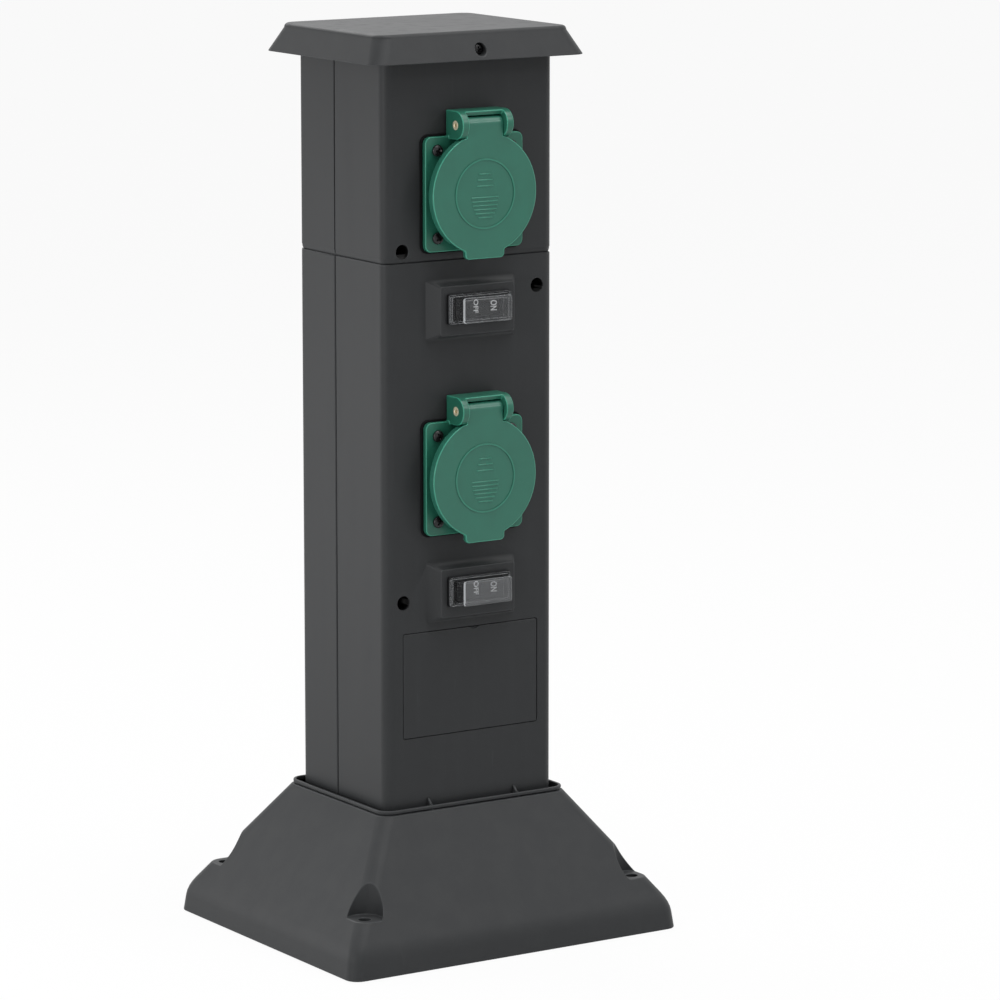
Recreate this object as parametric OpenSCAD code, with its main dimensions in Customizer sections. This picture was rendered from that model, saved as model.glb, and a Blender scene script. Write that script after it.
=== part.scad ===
// Garden socket post: a hollow column on a sloped foot, with two lidded
// sockets, two covered rocker switches and a terminal block inside.
// The front faces -Y, +Z is up, and the origin is under the middle of the foot.

/* [Column] */
// Height from the ground to the top of the cap
post_h = 403; // [370:1:450]
// Width of the column, left to right
col_w = 87.4; // [82:0.2:96]
// Depth of the column, front to back
col_d = 73; // [68:1:84]
// Radius of the column's upright corners
col_corner_r = 5; // [3:0.5:7]
// Wall of the four column shells
col_wall = 2.4; // [2:0.1:3]
// Where the front shells meet the rear ones, behind the column's middle
split_y = 4.5; // [2:0.5:8]
// Distance from the top of the cap down to the middle of the upper socket
socket_below_top = 70; // [66:0.5:78]
// How far the lower socket sits above the half-way point between lip and upper socket
lower_socket_rise = 10.35; // [8:0.05:12]
// Distance from a socket down to its switch
switch_drop = 50; // [49:0.5:52]

/* [Foot] */
// Width of the foot on the ground
foot_w = 171; // [160:1:190]
// Depth of the foot on the ground
foot_d = 152; // [144:1:170]
// Rounding between the skirt and the slope, as a length along each
crease = 4; // [1:0.5:5]
// Height of the upright skirt round the foot
skirt_h = 11.3; // [10.5:0.1:14]
// Lean of the skirt over its height
skirt_draft = 1.4; // [0.6:0.1:2]
// Wall of the foot
foot_wall = 2.6; // [2:0.1:3.2]
// Radius of the foot's corners
foot_corner_r = 6; // [4:0.5:9]
// Height of the lip round the column
lip_top_z = 63.3; // [60:0.1:70]
// Thickness of the lip
lip_t = 1.3; // [1:0.1:2]
// Width of the channel between the lip and the column
lip_gap = 3.1; // [2.6:0.1:3.8]
// Length of column that stands below the lip
foot_grip = 18.8; // [16:0.2:24]
// Distance between the anchor holes, left to right
anchor_x = 140; // [136:1:142]
// Distance between the anchor holes, front to back
anchor_y = 121; // [118:1:123]
// Radius of the anchor holes
anchor_r = 2.75; // [2:0.25:3.25]
// Radius of the corner pockets over the anchor holes
pocket_r = 8; // [7:0.25:9.5]
// Height of the pocket floors
pocket_z = 23; // [20:0.5:26]
// Width of the cable notch at the back of the foot
notch_w = 11; // [8:0.5:14]

/* [Cap] */
// How far the cap's lower edge stands out from the column
cap_reach = 11; // [8:0.2:13]
// How far the cap's flat top stands out from the column
cap_top_reach = 4.75; // [3:0.25:6]
// Height of the cap's sloping skirt
cap_h = 12.5; // [11.5:0.5:15]
// Wall of the cap
cap_wall = 2.5; // [2:0.1:3]
// Rounding of the cap's upper edge
cap_round = 2; // [1.6:0.2:3.4]

/* [Socket] */
// Width and height of the square socket flange
flange_w = 50; // [50:0.5:52]
// Thickness of the flange
flange_t = 2.4; // [2:0.1:3]
// Distance between the flange screws, both ways
flange_pitch = 38; // [38:0.5:39]
// Thickness of the rubber gasket behind the flange
gasket_t = 1; // [0.6:0.1:1.4]
// Radius of the well that takes the plug
well_r = 19.8; // [19.4:0.1:20.2]
// Depth of the well
well_depth = 18; // [17:0.5:19]
// How far the well's rim stands out from the flange
rim_proud = 4.3; // [3.9:0.1:4.9]
// Distance between the two pin holes
pin_pitch = 19; // [18.8:0.1:19.2]
// Radius of a pin hole
pin_hole_r = 2.9; // [2.7:0.1:3.1]

/* [Lid] */
// Radius of the round lid
lid_r = 26.5; // [26.2:0.1:27]
// How far the lid's face stands out from the flange
lid_stand = 8.6; // [8.4:0.1:9.2]
// Thickness of the lid's face
lid_t = 2.2; // [1.8:0.1:2.6]
// Length of the lid's rim from its face
lid_rim_h = 3.7; // [3.2:0.1:4.2]
// Width of the finger tab under the lid
tab_w = 20; // [16:0.5:22]
// Distance from the lid's middle to the end of the tab
tab_reach = 28.2; // [27.8:0.1:29]
// Height of the hinge pin over the socket's middle
hinge_rise = 30; // [29.8:0.1:30.6]
// Radius of the hinge pin
hinge_pin_r = 1.6; // [1.3:0.05:1.7]
// Radius of the lid's knuckle round the pin
knuckle_r = 3.3; // [3.1:0.1:3.4]
// Radius of the rounded ears beside the knuckle
ear_r = 6.2; // [6:0.1:6.6]
// Width of the hinge bracket over both ears
bracket_w = 26; // [25:0.5:28]
// Width of the lid's tongue between the ears
tongue_w = 18.6; // [17:0.2:19.6]

/* [Switch] */
// Width of the raised pad at the column's face
pad_w = 46; // [44:0.5:50]
// Height of the raised pad at the column's face
pad_h = 27.5; // [25:0.5:28.5]
// Width of the pad's flat top
pad_top_w = 38; // [35:0.5:39]
// Height of the pad's flat top
pad_top_h = 21.5; // [18.5:0.5:22]
// How far the pad stands out from the column
pad_proud = 6; // [5:0.25:7]
// Width of the switch bezel
bezel_w = 32; // [31:0.2:32.6]
// Height of the switch bezel
bezel_h = 13.4; // [13:0.1:14.2]
// Thickness of the switch bezel
bezel_t = 1.4; // [1.2:0.1:1.8]
// Length of the rocker
rocker_w = 24; // [23:0.2:24.4]
// Slope of each half of the rocker, in degrees
rocker_slope = 6.5; // [5:0.5:7]
// How far the clear cover stands out from the bezel
cover_proud = 7; // [6:0.1:7.4]
// Wall of the clear cover
cover_wall = 1.1; // [0.7:0.1:1.3]

/* [Blank cover and fixings] */
// Width of the blank cover
blank_w = 69.6; // [60:0.2:70]
// Height of the blank cover, as a share of the room between the lip and the lower switch
blank_share = 0.572; // [0.5:0.001:0.6]
// Thickness of the blank cover
blank_t = 1.6; // [1.2:0.1:1.8]
// Gap round the blank cover
blank_gap = 0.35; // [0.2:0.05:0.5]
// Radius of the counterbores over the shell screws
shell_bore_r = 3.2; // [2.6:0.05:3.3]
// Diameter of the wires' insulation
wire_d = 2.6; // [2:0.1:3]

/* [Hidden] */

$fn = 64;
// Overlap that lets a cut pass its face
over = 1;
// Clearance of a turning pin in its bore
run_fit = 0.05;
// Clearance of a piece that is pushed into its seat
seat_fit = 0.15;
// Gap between pieces that move past each other
swing_gap = 0.35;
// Points on each quarter arc of a lofted corner
arc_n = 6;
fine_arc_n = 12;

charcoal = "#35383b";
lid_green = "#2f6b58";
flange_green = "#285a4a";
rubber_black = "#1b1b1c";
switch_black = "#232427";
brass = "#c29a4b";
steel_grey = "#a9adb0";
clear_plastic = "#b9c2c4";

// Heights
upper_socket_z = post_h - socket_below_top;
lower_socket_z = (upper_socket_z + lip_top_z) / 2 + lower_socket_rise;
socket_zs = [upper_socket_z, lower_socket_z];
switch_zs = [upper_socket_z - switch_drop, lower_socket_z - switch_drop];
seam_below_socket = 29.5;
seam_z = upper_socket_z - seam_below_socket;
shell_top_z = post_h - cap_wall;
seat_z = lip_top_z - foot_grip;
blank_room = switch_zs[1] - pad_h / 2 - lip_top_z;
blank_h = blank_share * blank_room;
blank_rise_share = 0.6593;
blank_z = lip_top_z + blank_rise_share * blank_room;

// Column
face_y = -col_d / 2;
inner_w = col_w - 2 * col_wall;
inner_d = col_d - 2 * col_wall;
inner_r = col_corner_r - col_wall;
inner_face_y = face_y + col_wall;
seam_groove = 0.7;
seam_round_h = 2.2;
seam_round_depth = 0.9;
seam_run_out = 0.15;
seam_steps = 4;
tongue_len = 3;
tongue_t = col_wall / 2 - seat_fit;
spigot_h = 4;

// Foot
lip_w = col_w + 2 * (lip_gap + lip_t);
lip_d = col_d + 2 * (lip_gap + lip_t);
lip_r = col_corner_r + 1.5;
lip_h = 1.5;
groove_h = 0.6;
groove_depth = 1.2;
crease_steps = 4;
neck_out = 0.4;
neck_r = lip_r;
neck_z = lip_top_z - lip_h - groove_h;
channel_depth = 1.6;
deck_t = 3.4;
seat_wall = 2;
ledge_t = 2.5;
ledge_w = 11;
hug_w = col_w + 2 * seat_fit;
hug_d = col_d + 2 * seat_fit;
hug_r = col_corner_r + seat_fit;
rib_x = 22.4;
rib_t = 1;
rib_rise = 2.6;
cup_wall = 2.1;
cup_floor = 3;
anchor_boss_r = 5.5;
notch_top_z = 9;

// Screws
shell_screw_r = 1.45;
shell_screw_head_r = 2.5;
shell_screw_head_t = 2;
shell_boss_r = 4.3;
shell_screw_hole_r = 1.7;
shell_bore_floor_y = face_y + 14;
shell_screw_inset = 9;
above_seam = 5.2;
below_seam = 14.1;
below_switch = 4;
shell_screws_xz = [
    [-(col_w / 2 - shell_screw_inset), seam_z + above_seam],
    [col_w / 2 - shell_screw_inset, seam_z - below_seam],
    [-(col_w / 2 - shell_screw_inset), switch_zs[1] - below_switch]];
shell_screw_end_y = split_y + 16;
foot_screw_x = inner_w / 2 - 3.6;
foot_screw_y = inner_d / 2 - 3.6;
foot_boss_r = 4.2;
foot_boss_h = 18;
foot_screw_r = 1.45;
foot_screw_len = 14;
cap_screw_z = post_h - 8;
cap_screw_r = 1.45;
cap_screw_head_r = 2.4;
cap_boss_r = 4.4;
cap_bore_r = 2.8;
flange_screw_r = 1.3;
flange_screw_head_r = 2.6;
flange_screw_head_t = 1.7;
flange_boss_r = 3.1;
flange_boss_h = 7;

// Cap
cap_bottom_z = post_h - cap_h;
cap_corner_r = col_corner_r + 2;
cap_slope = (cap_reach - cap_top_reach) / cap_h;
cap_collar_t = 1.6;
cap_collar_h = 8;
round_steps = 5;

// Socket, measured from the column's face along Y and from the well's middle
flange_back_y = -gasket_t;
flange_front_y = flange_back_y - flange_t;
flange_corner_r = 3;
gasket_lip = 0.9;
rim_y = flange_front_y - rim_proud;
well_floor_y = rim_y + well_depth;
well_floor_t = 3;
well_back_y = well_floor_y + well_floor_t;
well_wall = 2.1;
well_outer_r = well_r + well_wall;
well_hole_r = well_outer_r + 0.4;
lid_front_y = flange_front_y - lid_stand;
lid_inner_y = lid_front_y + lid_t;
lid_rim_y = lid_front_y + lid_rim_h;
lid_rim_t = 1.6;
hinge_y = lid_front_y + knuckle_r;
bracket_back_y = flange_back_y;
bracket_wall = 2.5;
knuckle_room = knuckle_r + 0.8;
roof_angle = 22;
ear_gap = 0.3;
ear_cut_w = 1.4;
spring_wire_r = 0.3;
spring_r = hinge_pin_r + spring_wire_r + 0.15;
spring_turns = 7;
spring_room_w = 7.2;
tongue_skin = 0.8;
spring_room_r = knuckle_r - tongue_skin;
hood_reach = 0.8;
seal_inner_r = well_r - 1;
seal_outer_r = well_outer_r + 1.2;
seal_gap = 0.1;
lid_ring_r = 15.3;
lid_ring_t = 0.7;
lid_ring_h = 0.35;
relief_angle = 38;
guide_w = 4.5;
guide_h = 1.6;
guide_drop = 4;
carrier_t = 8;
carrier_r = well_outer_r - 1.5;
carrier_back_y = well_back_y + carrier_t;
sleeve_r = pin_hole_r - 0.1;
sleeve_bore_r = 2.45;
clamp_w = 8;
clamp_t = 7;
clamp_y = carrier_back_y + clamp_t / 2;
clip_w = 6;
clip_t = 0.8;
clip_z = well_r - 1.4;
clip_tip_y = rim_y + 3;
clip_bend = 1.2;
tab_len = 5;

// Switch, measured in the same way
pad_wall = 2.4;
pad_drop = 0.8;
pad_front_y = -pad_proud;
bezel_front_y = pad_front_y - bezel_t;
switch_hole_w = 28.4;
switch_hole_h = 12;
switch_body_w = switch_hole_w - 0.5;
switch_body_h = switch_hole_h - 0.4;
switch_body_d = 19;
switch_body_back_y = pad_front_y + switch_body_d;
catch_w = 5;
catch_reach = 1.1;
catch_len = 9.5;
switch_wall = 1.2;
rocker_h = switch_body_h - 2 * switch_wall - 0.6;
rocker_room_w = rocker_w + 0.8;
rocker_room_d = 10;
rocker_room_y = bezel_front_y + rocker_room_d;
pivot_depth = 3;
pivot_y = bezel_front_y + pivot_depth;
pivot_r = 1.4;
pivot_len = 0.9;
pressed_proud = 0.3;
rocker_depth = 3.2;
rocker_keel = 2.2;
blade_w = 4.8;
blade_t = 0.8;
blade_len = 8;
blade_root = 4;
blade_x = 7;
crimp_w = 6.4;
crimp_h = 3.6;
crimp_len = 5;
blade_end_y = switch_body_back_y + blade_len;

cover_lean_x = 3.4;
cover_lean_z = 0.8;

// Terminal block, measured in the post's own frame
pole_pitch = 9.5;
block_w = 3 * pole_pitch;
block_d = 14;
block_h = 17;
block_pad_t = 4;
block_back_y = inner_d / 2 - block_pad_t;
block_y = block_back_y - block_d / 2;
block_top_z = blank_z + block_h / 2;
barrel_r = 2.6;
barrel_bore_r = 1.7;
terminal_screw_r = 1.5;

// Wire routes run between the terminals; the loose points between them lie
// clear of the sockets and switches
wire_plug = 4;
turn = 2 * wire_d;
side_x = well_hole_r + 2 * wire_d;
crimp_side = 1.5;
wire_y = face_y + clamp_y;
crimp_y = face_y + blade_end_y;
earth_y = face_y + carrier_back_y + tab_len;
block_exit_z = block_top_z - wire_plug;
top_free_z = block_top_z + turn;

// Shared shapes
module plate_2d(w, d, r) {
    square([w - 2 * r, d], center = true);
    square([w, d - 2 * r], center = true);
    for (x = [-1, 1], y = [-1, 1])
        translate([x * (w / 2 - r), y * (d / 2 - r)]) circle(r);
}

module plate(w, d, r, z0, z1) {
    translate([0, 0, z0]) linear_extrude(z1 - z0) plate_2d(w, d, r);
}

module ring_wall(w, d, r, t, z0, z1) {
    difference() {
        plate(w, d, r, z0, z1);
        plate(w - 2 * t, d - 2 * t, r - t, z0 - over, z1 + over);
    }
}

module box(x0, x1, y0, y1, z0, z1) {
    translate([x0, y0, z0]) cube([x1 - x0, y1 - y0, z1 - z0]);
}

module along_x(x0, x1, r) {
    translate([x0, 0, 0]) rotate([0, 90, 0]) cylinder(h = x1 - x0, r = r);
}

module along_y(y0, y1, r) {
    translate([0, y0, 0]) rotate([-90, 0, 0]) cylinder(h = y1 - y0, r = r);
}

// A plate that faces the front, from y0 back to y1
module front_plate(w, h, r, y0, y1) {
    translate([0, y1, 0]) rotate([90, 0, 0]) linear_extrude(y1 - y0) plate_2d(w, h, r);
}

// One level of a loft: a rectangle with round corners at height z
function level(w, d, r, z, n = arc_n) = [
    for (c = [0:3], k = [0:n])
        let (sx = [1, -1, -1, 1][c], sy = [1, 1, -1, -1][c], a = 90 * (c + k / n))
        [sx * (w / 2 - r) + r * cos(a), sy * (d / 2 - r) + r * sin(a), z]];

// A closed solid through levels, each with the same number of points
module skin(levels) {
    m = len(levels[0]);
    n = len(levels);
    polyhedron(
        points = [for (l = levels) each l],
        faces = concat(
            [[for (i = [0:m - 1]) i]],
            [[for (i = [m - 1:-1:0]) (n - 1) * m + i]],
            [for (j = [0:n - 2], i = [0:m - 1])
                let (a = j * m + i, b = j * m + (i + 1) % m)
                each [[a, a + m, b + m], [a, b + m, b]]]));
}

// The same, lofted outwards from the column's face
module front_skin(levels) {
    rotate([90, 0, 0]) skin(levels);
}

module at_face(z) {
    translate([0, face_y, z]) children();
}

// Foot: width, depth, corner radius and height where its slopes change
foot_ground = [foot_w, foot_d, foot_corner_r, 0];
foot_shoulder = [foot_w - 2 * skirt_draft, foot_d - 2 * skirt_draft, foot_corner_r, skirt_h];
foot_neck = [lip_w + 2 * neck_out, lip_d + 2 * neck_out, neck_r, neck_z];
function mix(a, b, t) = a * (1 - t) + b * t;
function foot_crease(t) =
    let (
        low = mix(foot_shoulder, foot_ground, crease / skirt_h),
        high = mix(foot_shoulder, foot_neck, crease / (neck_z - skirt_h)))
    mix(mix(low, foot_shoulder, t), mix(foot_shoulder, high, t), t);

module foot_outside() {
    bends = concat([foot_ground], [for (k = [0:crease_steps]) foot_crease(k / crease_steps)], [foot_neck]);
    skin([for (b = bends) level(b[0], b[1], b[2], b[3])]);
}

module foot_inside() {
    t = 2 * foot_wall;
    r = foot_corner_r - foot_wall / 2;
    skin([
        level(foot_w - t, foot_d - t, r, -over),
        level(foot_w - t - 2 * skirt_draft, foot_d - t - 2 * skirt_draft, r, skirt_h - 1),
        level(lip_w - t, lip_d - t, neck_r - 1, neck_z - deck_t)]);
}

module at_anchors() {
    for (x = [-1, 1], y = [-1, 1])
        translate([x * anchor_x / 2, y * anchor_y / 2, 0]) children();
}

module at_foot_screws() {
    for (x = [-1, 1], y = [-1, 1])
        translate([x * foot_screw_x, y * foot_screw_y, 0]) children();
}

module foot_rib() {
    y0 = -lip_d / 2 + lip_t / 2;
    y1 = face_y - seat_fit;
    z0 = neck_z - channel_depth;
    translate([rib_t / 2, 0, 0]) rotate([90, 0, -90]) linear_extrude(rib_t)
        polygon([[-y0, z0], [-y0, lip_top_z - 0.3], [-y1 + 0.6, lip_top_z + rib_rise],
                 [-y1, lip_top_z + rib_rise], [-y1, z0]]);
}

module foot() {
    color(charcoal) {
        difference() {
            union() {
                difference() {
                    foot_outside();
                    foot_inside();
                }
                intersection() {
                    foot_outside();
                    at_anchors() {
                        cylinder(h = pocket_z, r = anchor_boss_r);
                        translate([0, 0, pocket_z - cup_floor]) cylinder(h = neck_z, r = pocket_r + cup_wall);
                    }
                }
                plate(hug_w + 2 * seat_wall, hug_d + 2 * seat_wall, hug_r + seat_wall,
                      seat_z - ledge_t, neck_z - deck_t / 2);
                plate(lip_w - 2 * groove_depth, lip_d - 2 * groove_depth, lip_r - groove_depth,
                      neck_z - deck_t, neck_z + groove_h);
                plate(lip_w, lip_d, lip_r, neck_z + groove_h, lip_top_z);
            }
            plate(lip_w - 2 * lip_t, lip_d - 2 * lip_t, lip_r - lip_t, neck_z - channel_depth, lip_top_z + over);
            plate(hug_w, hug_d, hug_r, seat_z, lip_top_z);
            plate(col_w - 2 * ledge_w, col_d - 2 * ledge_w, inner_r, seat_z - ledge_t - over, seat_z + over);
            at_foot_screws() cylinder(h = seat_z + over, r = foot_screw_r + 0.3);
            at_anchors() {
                translate([0, 0, pocket_z]) cylinder(h = neck_z, r = pocket_r);
                translate([0, 0, -over]) cylinder(h = pocket_z + 2 * over, r = anchor_r);
            }
            translate([0, foot_d / 2, notch_top_z - notch_w / 2]) {
                along_y(-4 * foot_wall, over, notch_w / 2);
                box(-notch_w / 2, notch_w / 2, -4 * foot_wall, over, -notch_top_z, 0);
            }
        }
        for (s = [-1, 1], x = [-rib_x, rib_x])
            scale([1, -s, 1]) translate([x, 0, 0]) foot_rib();
    }
}

module foot_screws() {
    color(steel_grey) at_foot_screws() {
        translate([0, 0, seat_z - ledge_t - 1.8]) cylinder(h = 1.8, r = 2.8);
        translate([0, 0, seat_z - ledge_t]) cylinder(h = foot_screw_len, r = foot_screw_r);
    }
}

// Column shells. The rear shells have a tongue that slides inside the front ones.
module half_wall(z0, z1, rear) {
    big = col_w;
    translate([0, 0, z0]) linear_extrude(z1 - z0) {
        difference() {
            plate_2d(col_w, col_d, col_corner_r);
            plate_2d(inner_w, inner_d, inner_r);
            translate([-big, rear ? split_y - big : split_y]) square([2 * big, big]);
            for (s = [-1, 1]) {
                if (rear)
                    translate([s * col_w / 2 - seam_groove, split_y - over])
                        square([2 * seam_groove, seam_groove + over]);
                else
                    translate([s * (inner_w / 2 + tongue_t / 2) - tongue_t / 2 - seat_fit,
                               split_y - tongue_len - seat_fit])
                        square([tongue_t + 2 * seat_fit, tongue_len + 1]);
            }
        }
        if (rear)
            for (s = [-1, 1])
                translate([s * (inner_w / 2 + tongue_t / 2) - tongue_t / 2, split_y - tongue_len])
                    square([tongue_t, tongue_len + 0.5]);
    }
}

// Room round the upper shells' lower edge for the spigot of the lower shells
module spigot_room() {
    ring_wall(inner_w + 2 * tongue_t + 2 * seat_fit, inner_d + 2 * tongue_t + 2 * seat_fit,
              inner_r + tongue_t + seat_fit, tongue_t + 2 * seat_fit, seam_z - over, seam_z + spigot_h + seat_fit);
}

module spigot(rear) {
    gap = tongue_len + 1;
    difference() {
        ring_wall(inner_w + 2 * tongue_t, inner_d + 2 * tongue_t, inner_r + tongue_t, tongue_t,
                  seam_z - over, seam_z + spigot_h);
        box(-col_w, col_w, rear ? -col_d : split_y - gap, rear ? split_y + 0.5 : col_d,
            seam_z - 2 * over, seam_z + 2 * spigot_h);
    }
}

// Cuts the rounding round the upper shells' lower edge
module seam_rounding() {
    top = seam_round_h + seam_run_out;
    difference() {
        plate(col_w + 4 * seam_run_out, col_d + 4 * seam_run_out, col_corner_r + 2 * seam_run_out,
              seam_z - over, seam_z + top);
        skin([for (k = [-1:seam_steps + 1])
            let (
                a = 90 * (1 - max(0, min(1, k / seam_steps))),
                cut = k > seam_steps ? -seam_run_out : seam_run_out + seam_round_depth * (1 - cos(a)),
                z = k < 0 ? -2 * over : k > seam_steps ? top + over : seam_round_h * (1 - sin(a)))
            level(col_w - 2 * cut, col_d - 2 * cut, col_corner_r - cut, seam_z + z, fine_arc_n)]);
    }
}

module at_shell_screw(i) {
    translate([shell_screws_xz[i][0], 0, shell_screws_xz[i][1]]) children();
}

module front_screw_posts(ids) {
    for (i = ids) at_shell_screw(i) along_y(inner_face_y - 0.2, split_y, shell_boss_r);
}

module front_screw_bores(ids) {
    for (i = ids) at_shell_screw(i) {
        along_y(face_y - over, shell_bore_floor_y, shell_bore_r);
        along_y(face_y - over, split_y + over, shell_screw_hole_r);
    }
}

module rear_screw_posts(ids) {
    for (i = ids) at_shell_screw(i) difference() {
        along_y(split_y, inner_d / 2 + 0.2, shell_boss_r);
        along_y(split_y - over, shell_screw_end_y + 2, shell_screw_r + run_fit);
    }
}

module flange_screw_posts(z) {
    at_face(z) for (x = [-1, 1], s = [-1, 1])
        translate([x * flange_pitch / 2, 0, s * flange_pitch / 2])
            along_y(col_wall - 0.2, col_wall + flange_boss_h, flange_boss_r);
}

module socket_holes(z) {
    at_face(z) {
        along_y(-over, col_wall + over, well_hole_r);
        for (x = [-1, 1], s = [-1, 1])
            translate([x * flange_pitch / 2, 0, s * flange_pitch / 2])
                along_y(-over, col_wall + flange_boss_h - 1, flange_screw_r + run_fit);
    }
}

module switch_pad(z) {
    at_face(z - pad_drop) front_skin([
        level(pad_w, pad_h, 1.5, -0.5),
        level(pad_w, pad_h, 1.5, 0),
        level(pad_top_w, pad_top_h, 1.2, pad_proud)]);
}

module switch_pad_room(z) {
    t = 2 * pad_wall;
    at_face(z - pad_drop) front_skin([
        level(pad_w - t, pad_h - t, 1, -col_wall - over),
        level(pad_w - t, pad_h - t, 1, 0),
        level(pad_top_w - t, pad_top_h - t, 1, pad_proud - pad_wall)]);
    at_face(z) front_plate(switch_hole_w, switch_hole_h, 0.6, -pad_proud - over, 0);
}

module lower_front_shell() {
    ids = [1, 2];
    room_t = 1.6;
    color(charcoal) difference() {
        union() {
            half_wall(seat_z, seam_z, false);
            spigot(false);
            front_screw_posts(ids);
            flange_screw_posts(lower_socket_z);
            for (z = switch_zs) switch_pad(z);
            at_face(blank_z)
                front_plate(blank_w + 4, blank_h + 4, 2, col_wall - 0.1, col_wall + room_t);
            foot_posts(-1);
        }
        front_screw_bores(ids);
        socket_holes(lower_socket_z);
        for (z = switch_zs) switch_pad_room(z);
        at_face(blank_z) {
            front_plate(blank_w + 2 * blank_gap, blank_h + 2 * blank_gap, 1.2, -over, blank_t);
            front_plate(blank_w - 8, blank_h - 8, 1, -over, col_wall + room_t + over);
        }
    }
}

module foot_posts(s) {
    for (x = [-1, 1]) translate([x * foot_screw_x, s * foot_screw_y, seat_z]) difference() {
        cylinder(h = foot_boss_h, r = foot_boss_r);
        translate([0, 0, -over]) cylinder(h = foot_screw_len + over, r = foot_screw_r + run_fit);
    }
}

module lower_rear_shell() {
    color(charcoal) {
        half_wall(seat_z, seam_z, true);
        spigot(true);
        rear_screw_posts([1, 2]);
        foot_posts(1);
        at_block_pad() box(-block_w / 3, block_w / 3, block_back_y, inner_d / 2 + 0.2, -block_h / 3, block_h / 3);
    }
}

module at_block_pad() {
    translate([0, 0, blank_z]) children();
}

module cap_screw_post(s) {
    translate([0, 0, cap_screw_z]) scale([1, s, 1])
        along_y(inner_face_y - 0.2, inner_face_y + 7, cap_boss_r);
}

module cap_screw_bore(s) {
    translate([0, 0, cap_screw_z]) scale([1, s, 1])
        along_y(face_y - over, inner_face_y + 6, cap_screw_r + run_fit);
}

module upper_front_shell() {
    color(charcoal) difference() {
        union() {
            difference() {
                half_wall(seam_z, shell_top_z, false);
                spigot_room();
                seam_rounding();
            }
            difference() {
                front_screw_posts([0]);
                spigot_room();
            }
            flange_screw_posts(upper_socket_z);
            cap_screw_post(1);
        }
        front_screw_bores([0]);
        socket_holes(upper_socket_z);
        cap_screw_bore(1);
    }
}

module upper_rear_shell() {
    color(charcoal) difference() {
        union() {
            difference() {
                half_wall(seam_z, shell_top_z, true);
                spigot_room();
                seam_rounding();
            }
            difference() {
                rear_screw_posts([0]);
                spigot_room();
            }
            cap_screw_post(-1);
        }
        cap_screw_bore(-1);
    }
}

module shell_screws() {
    color(rubber_black) for (i = [0:2]) at_shell_screw(i) {
        difference() {
            along_y(shell_bore_floor_y - shell_screw_head_t, shell_bore_floor_y, shell_screw_head_r);
            translate([0, shell_bore_floor_y - shell_screw_head_t, 0]) cross_slot();
        }
        along_y(shell_bore_floor_y, shell_screw_end_y, shell_screw_r);
    }
}

// Cross recess in a screw head that faces the front
module cross_slot() {
    arm = 1.5;
    for (a = [0, 90])
        rotate([0, a, 0]) box(-arm, arm, -over, 0.9, -0.3, 0.3);
}

// Cap
module cap_outside() {
    rise = [for (k = [0:round_steps]) 90 * k / round_steps];
    w = col_w + 2 * cap_top_reach;
    d = col_d + 2 * cap_top_reach;
    out = 2 * cap_round * cap_slope;
    skin(concat(
        [level(col_w + 2 * cap_reach, col_d + 2 * cap_reach, cap_corner_r, cap_bottom_z)],
        [for (a = rise)
            let (pull = 2 * cap_round * (1 - cos(a)))
            level(w + out - pull, d + out - pull, cap_corner_r - pull / 2,
                  post_h - cap_round * (1 - sin(a)))]));
}

module cap_inside() {
    t = 2 * cap_wall;
    skin([
        level(col_w + 2 * cap_reach - t + 2 * over * cap_slope, col_d + 2 * cap_reach - t + 2 * over * cap_slope,
              cap_corner_r - 1, cap_bottom_z - over),
        level(col_w + 2 * cap_top_reach - t + 2 * cap_wall * cap_slope,
              col_d + 2 * cap_top_reach - t + 2 * cap_wall * cap_slope, cap_corner_r - 1, post_h - cap_wall)]);
}

module cap() {
    color(charcoal) difference() {
        union() {
            difference() {
                cap_outside();
                cap_inside();
            }
            ring_wall(hug_w + 2 * cap_collar_t, hug_d + 2 * cap_collar_t, hug_r + cap_collar_t, cap_collar_t,
                      shell_top_z - cap_collar_h, shell_top_z + 0.2);
            intersection() {
                cap_outside();
                for (s = [-1, 1]) translate([0, 0, cap_screw_z]) scale([1, s, 1])
                    along_y(face_y - cap_reach, face_y - seat_fit, cap_boss_r);
            }
        }
        for (s = [-1, 1]) translate([0, 0, cap_screw_z]) scale([1, s, 1]) {
            along_y(face_y - cap_reach - over, face_y - 5, cap_bore_r);
            along_y(face_y - cap_reach, face_y + over, cap_screw_r + 0.2);
        }
    }
}

module cap_screws() {
    color(rubber_black) for (s = [-1, 1]) translate([0, 0, cap_screw_z]) scale([1, s, 1]) {
        difference() {
            along_y(face_y - 7, face_y - 5, cap_screw_head_r);
            translate([0, face_y - 7, 0]) cross_slot();
        }
        along_y(face_y - 5, inner_face_y + 5, cap_screw_r);
    }
}

// Blank cover, with a thumb notch and two clips that reach behind the frame
module blank_cover() {
    clip_y = col_wall + 1.6;
    color(charcoal) at_face(blank_z) {
        difference() {
            front_plate(blank_w, blank_h, 1, 0, blank_t);
            translate([2, 0, blank_h / 2 + 2.6]) along_y(-over, blank_t / 2, 3.6);
        }
        for (s = [-1, 1]) scale([1, 1, s]) {
            box(-8, 8, blank_t, clip_y + 1.4, blank_h / 2 - 5.4, blank_h / 2 - 4.15);
            box(-8, 8, clip_y + 0.1, clip_y + 1.4, blank_h / 2 - 4.2, blank_h / 2 - 3.2);
        }
    }
}

// Sockets
module at_flange_screws() {
    for (x = [-1, 1], s = [-1, 1])
        translate([x * flange_pitch / 2, 0, s * flange_pitch / 2]) children();
}

// A side view, drawn as depth and height, extruded from left to right
module side_extrude(w) {
    translate([-w / 2, 0, 0]) rotate([90, 0, 90]) linear_extrude(w) children();
}

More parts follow.
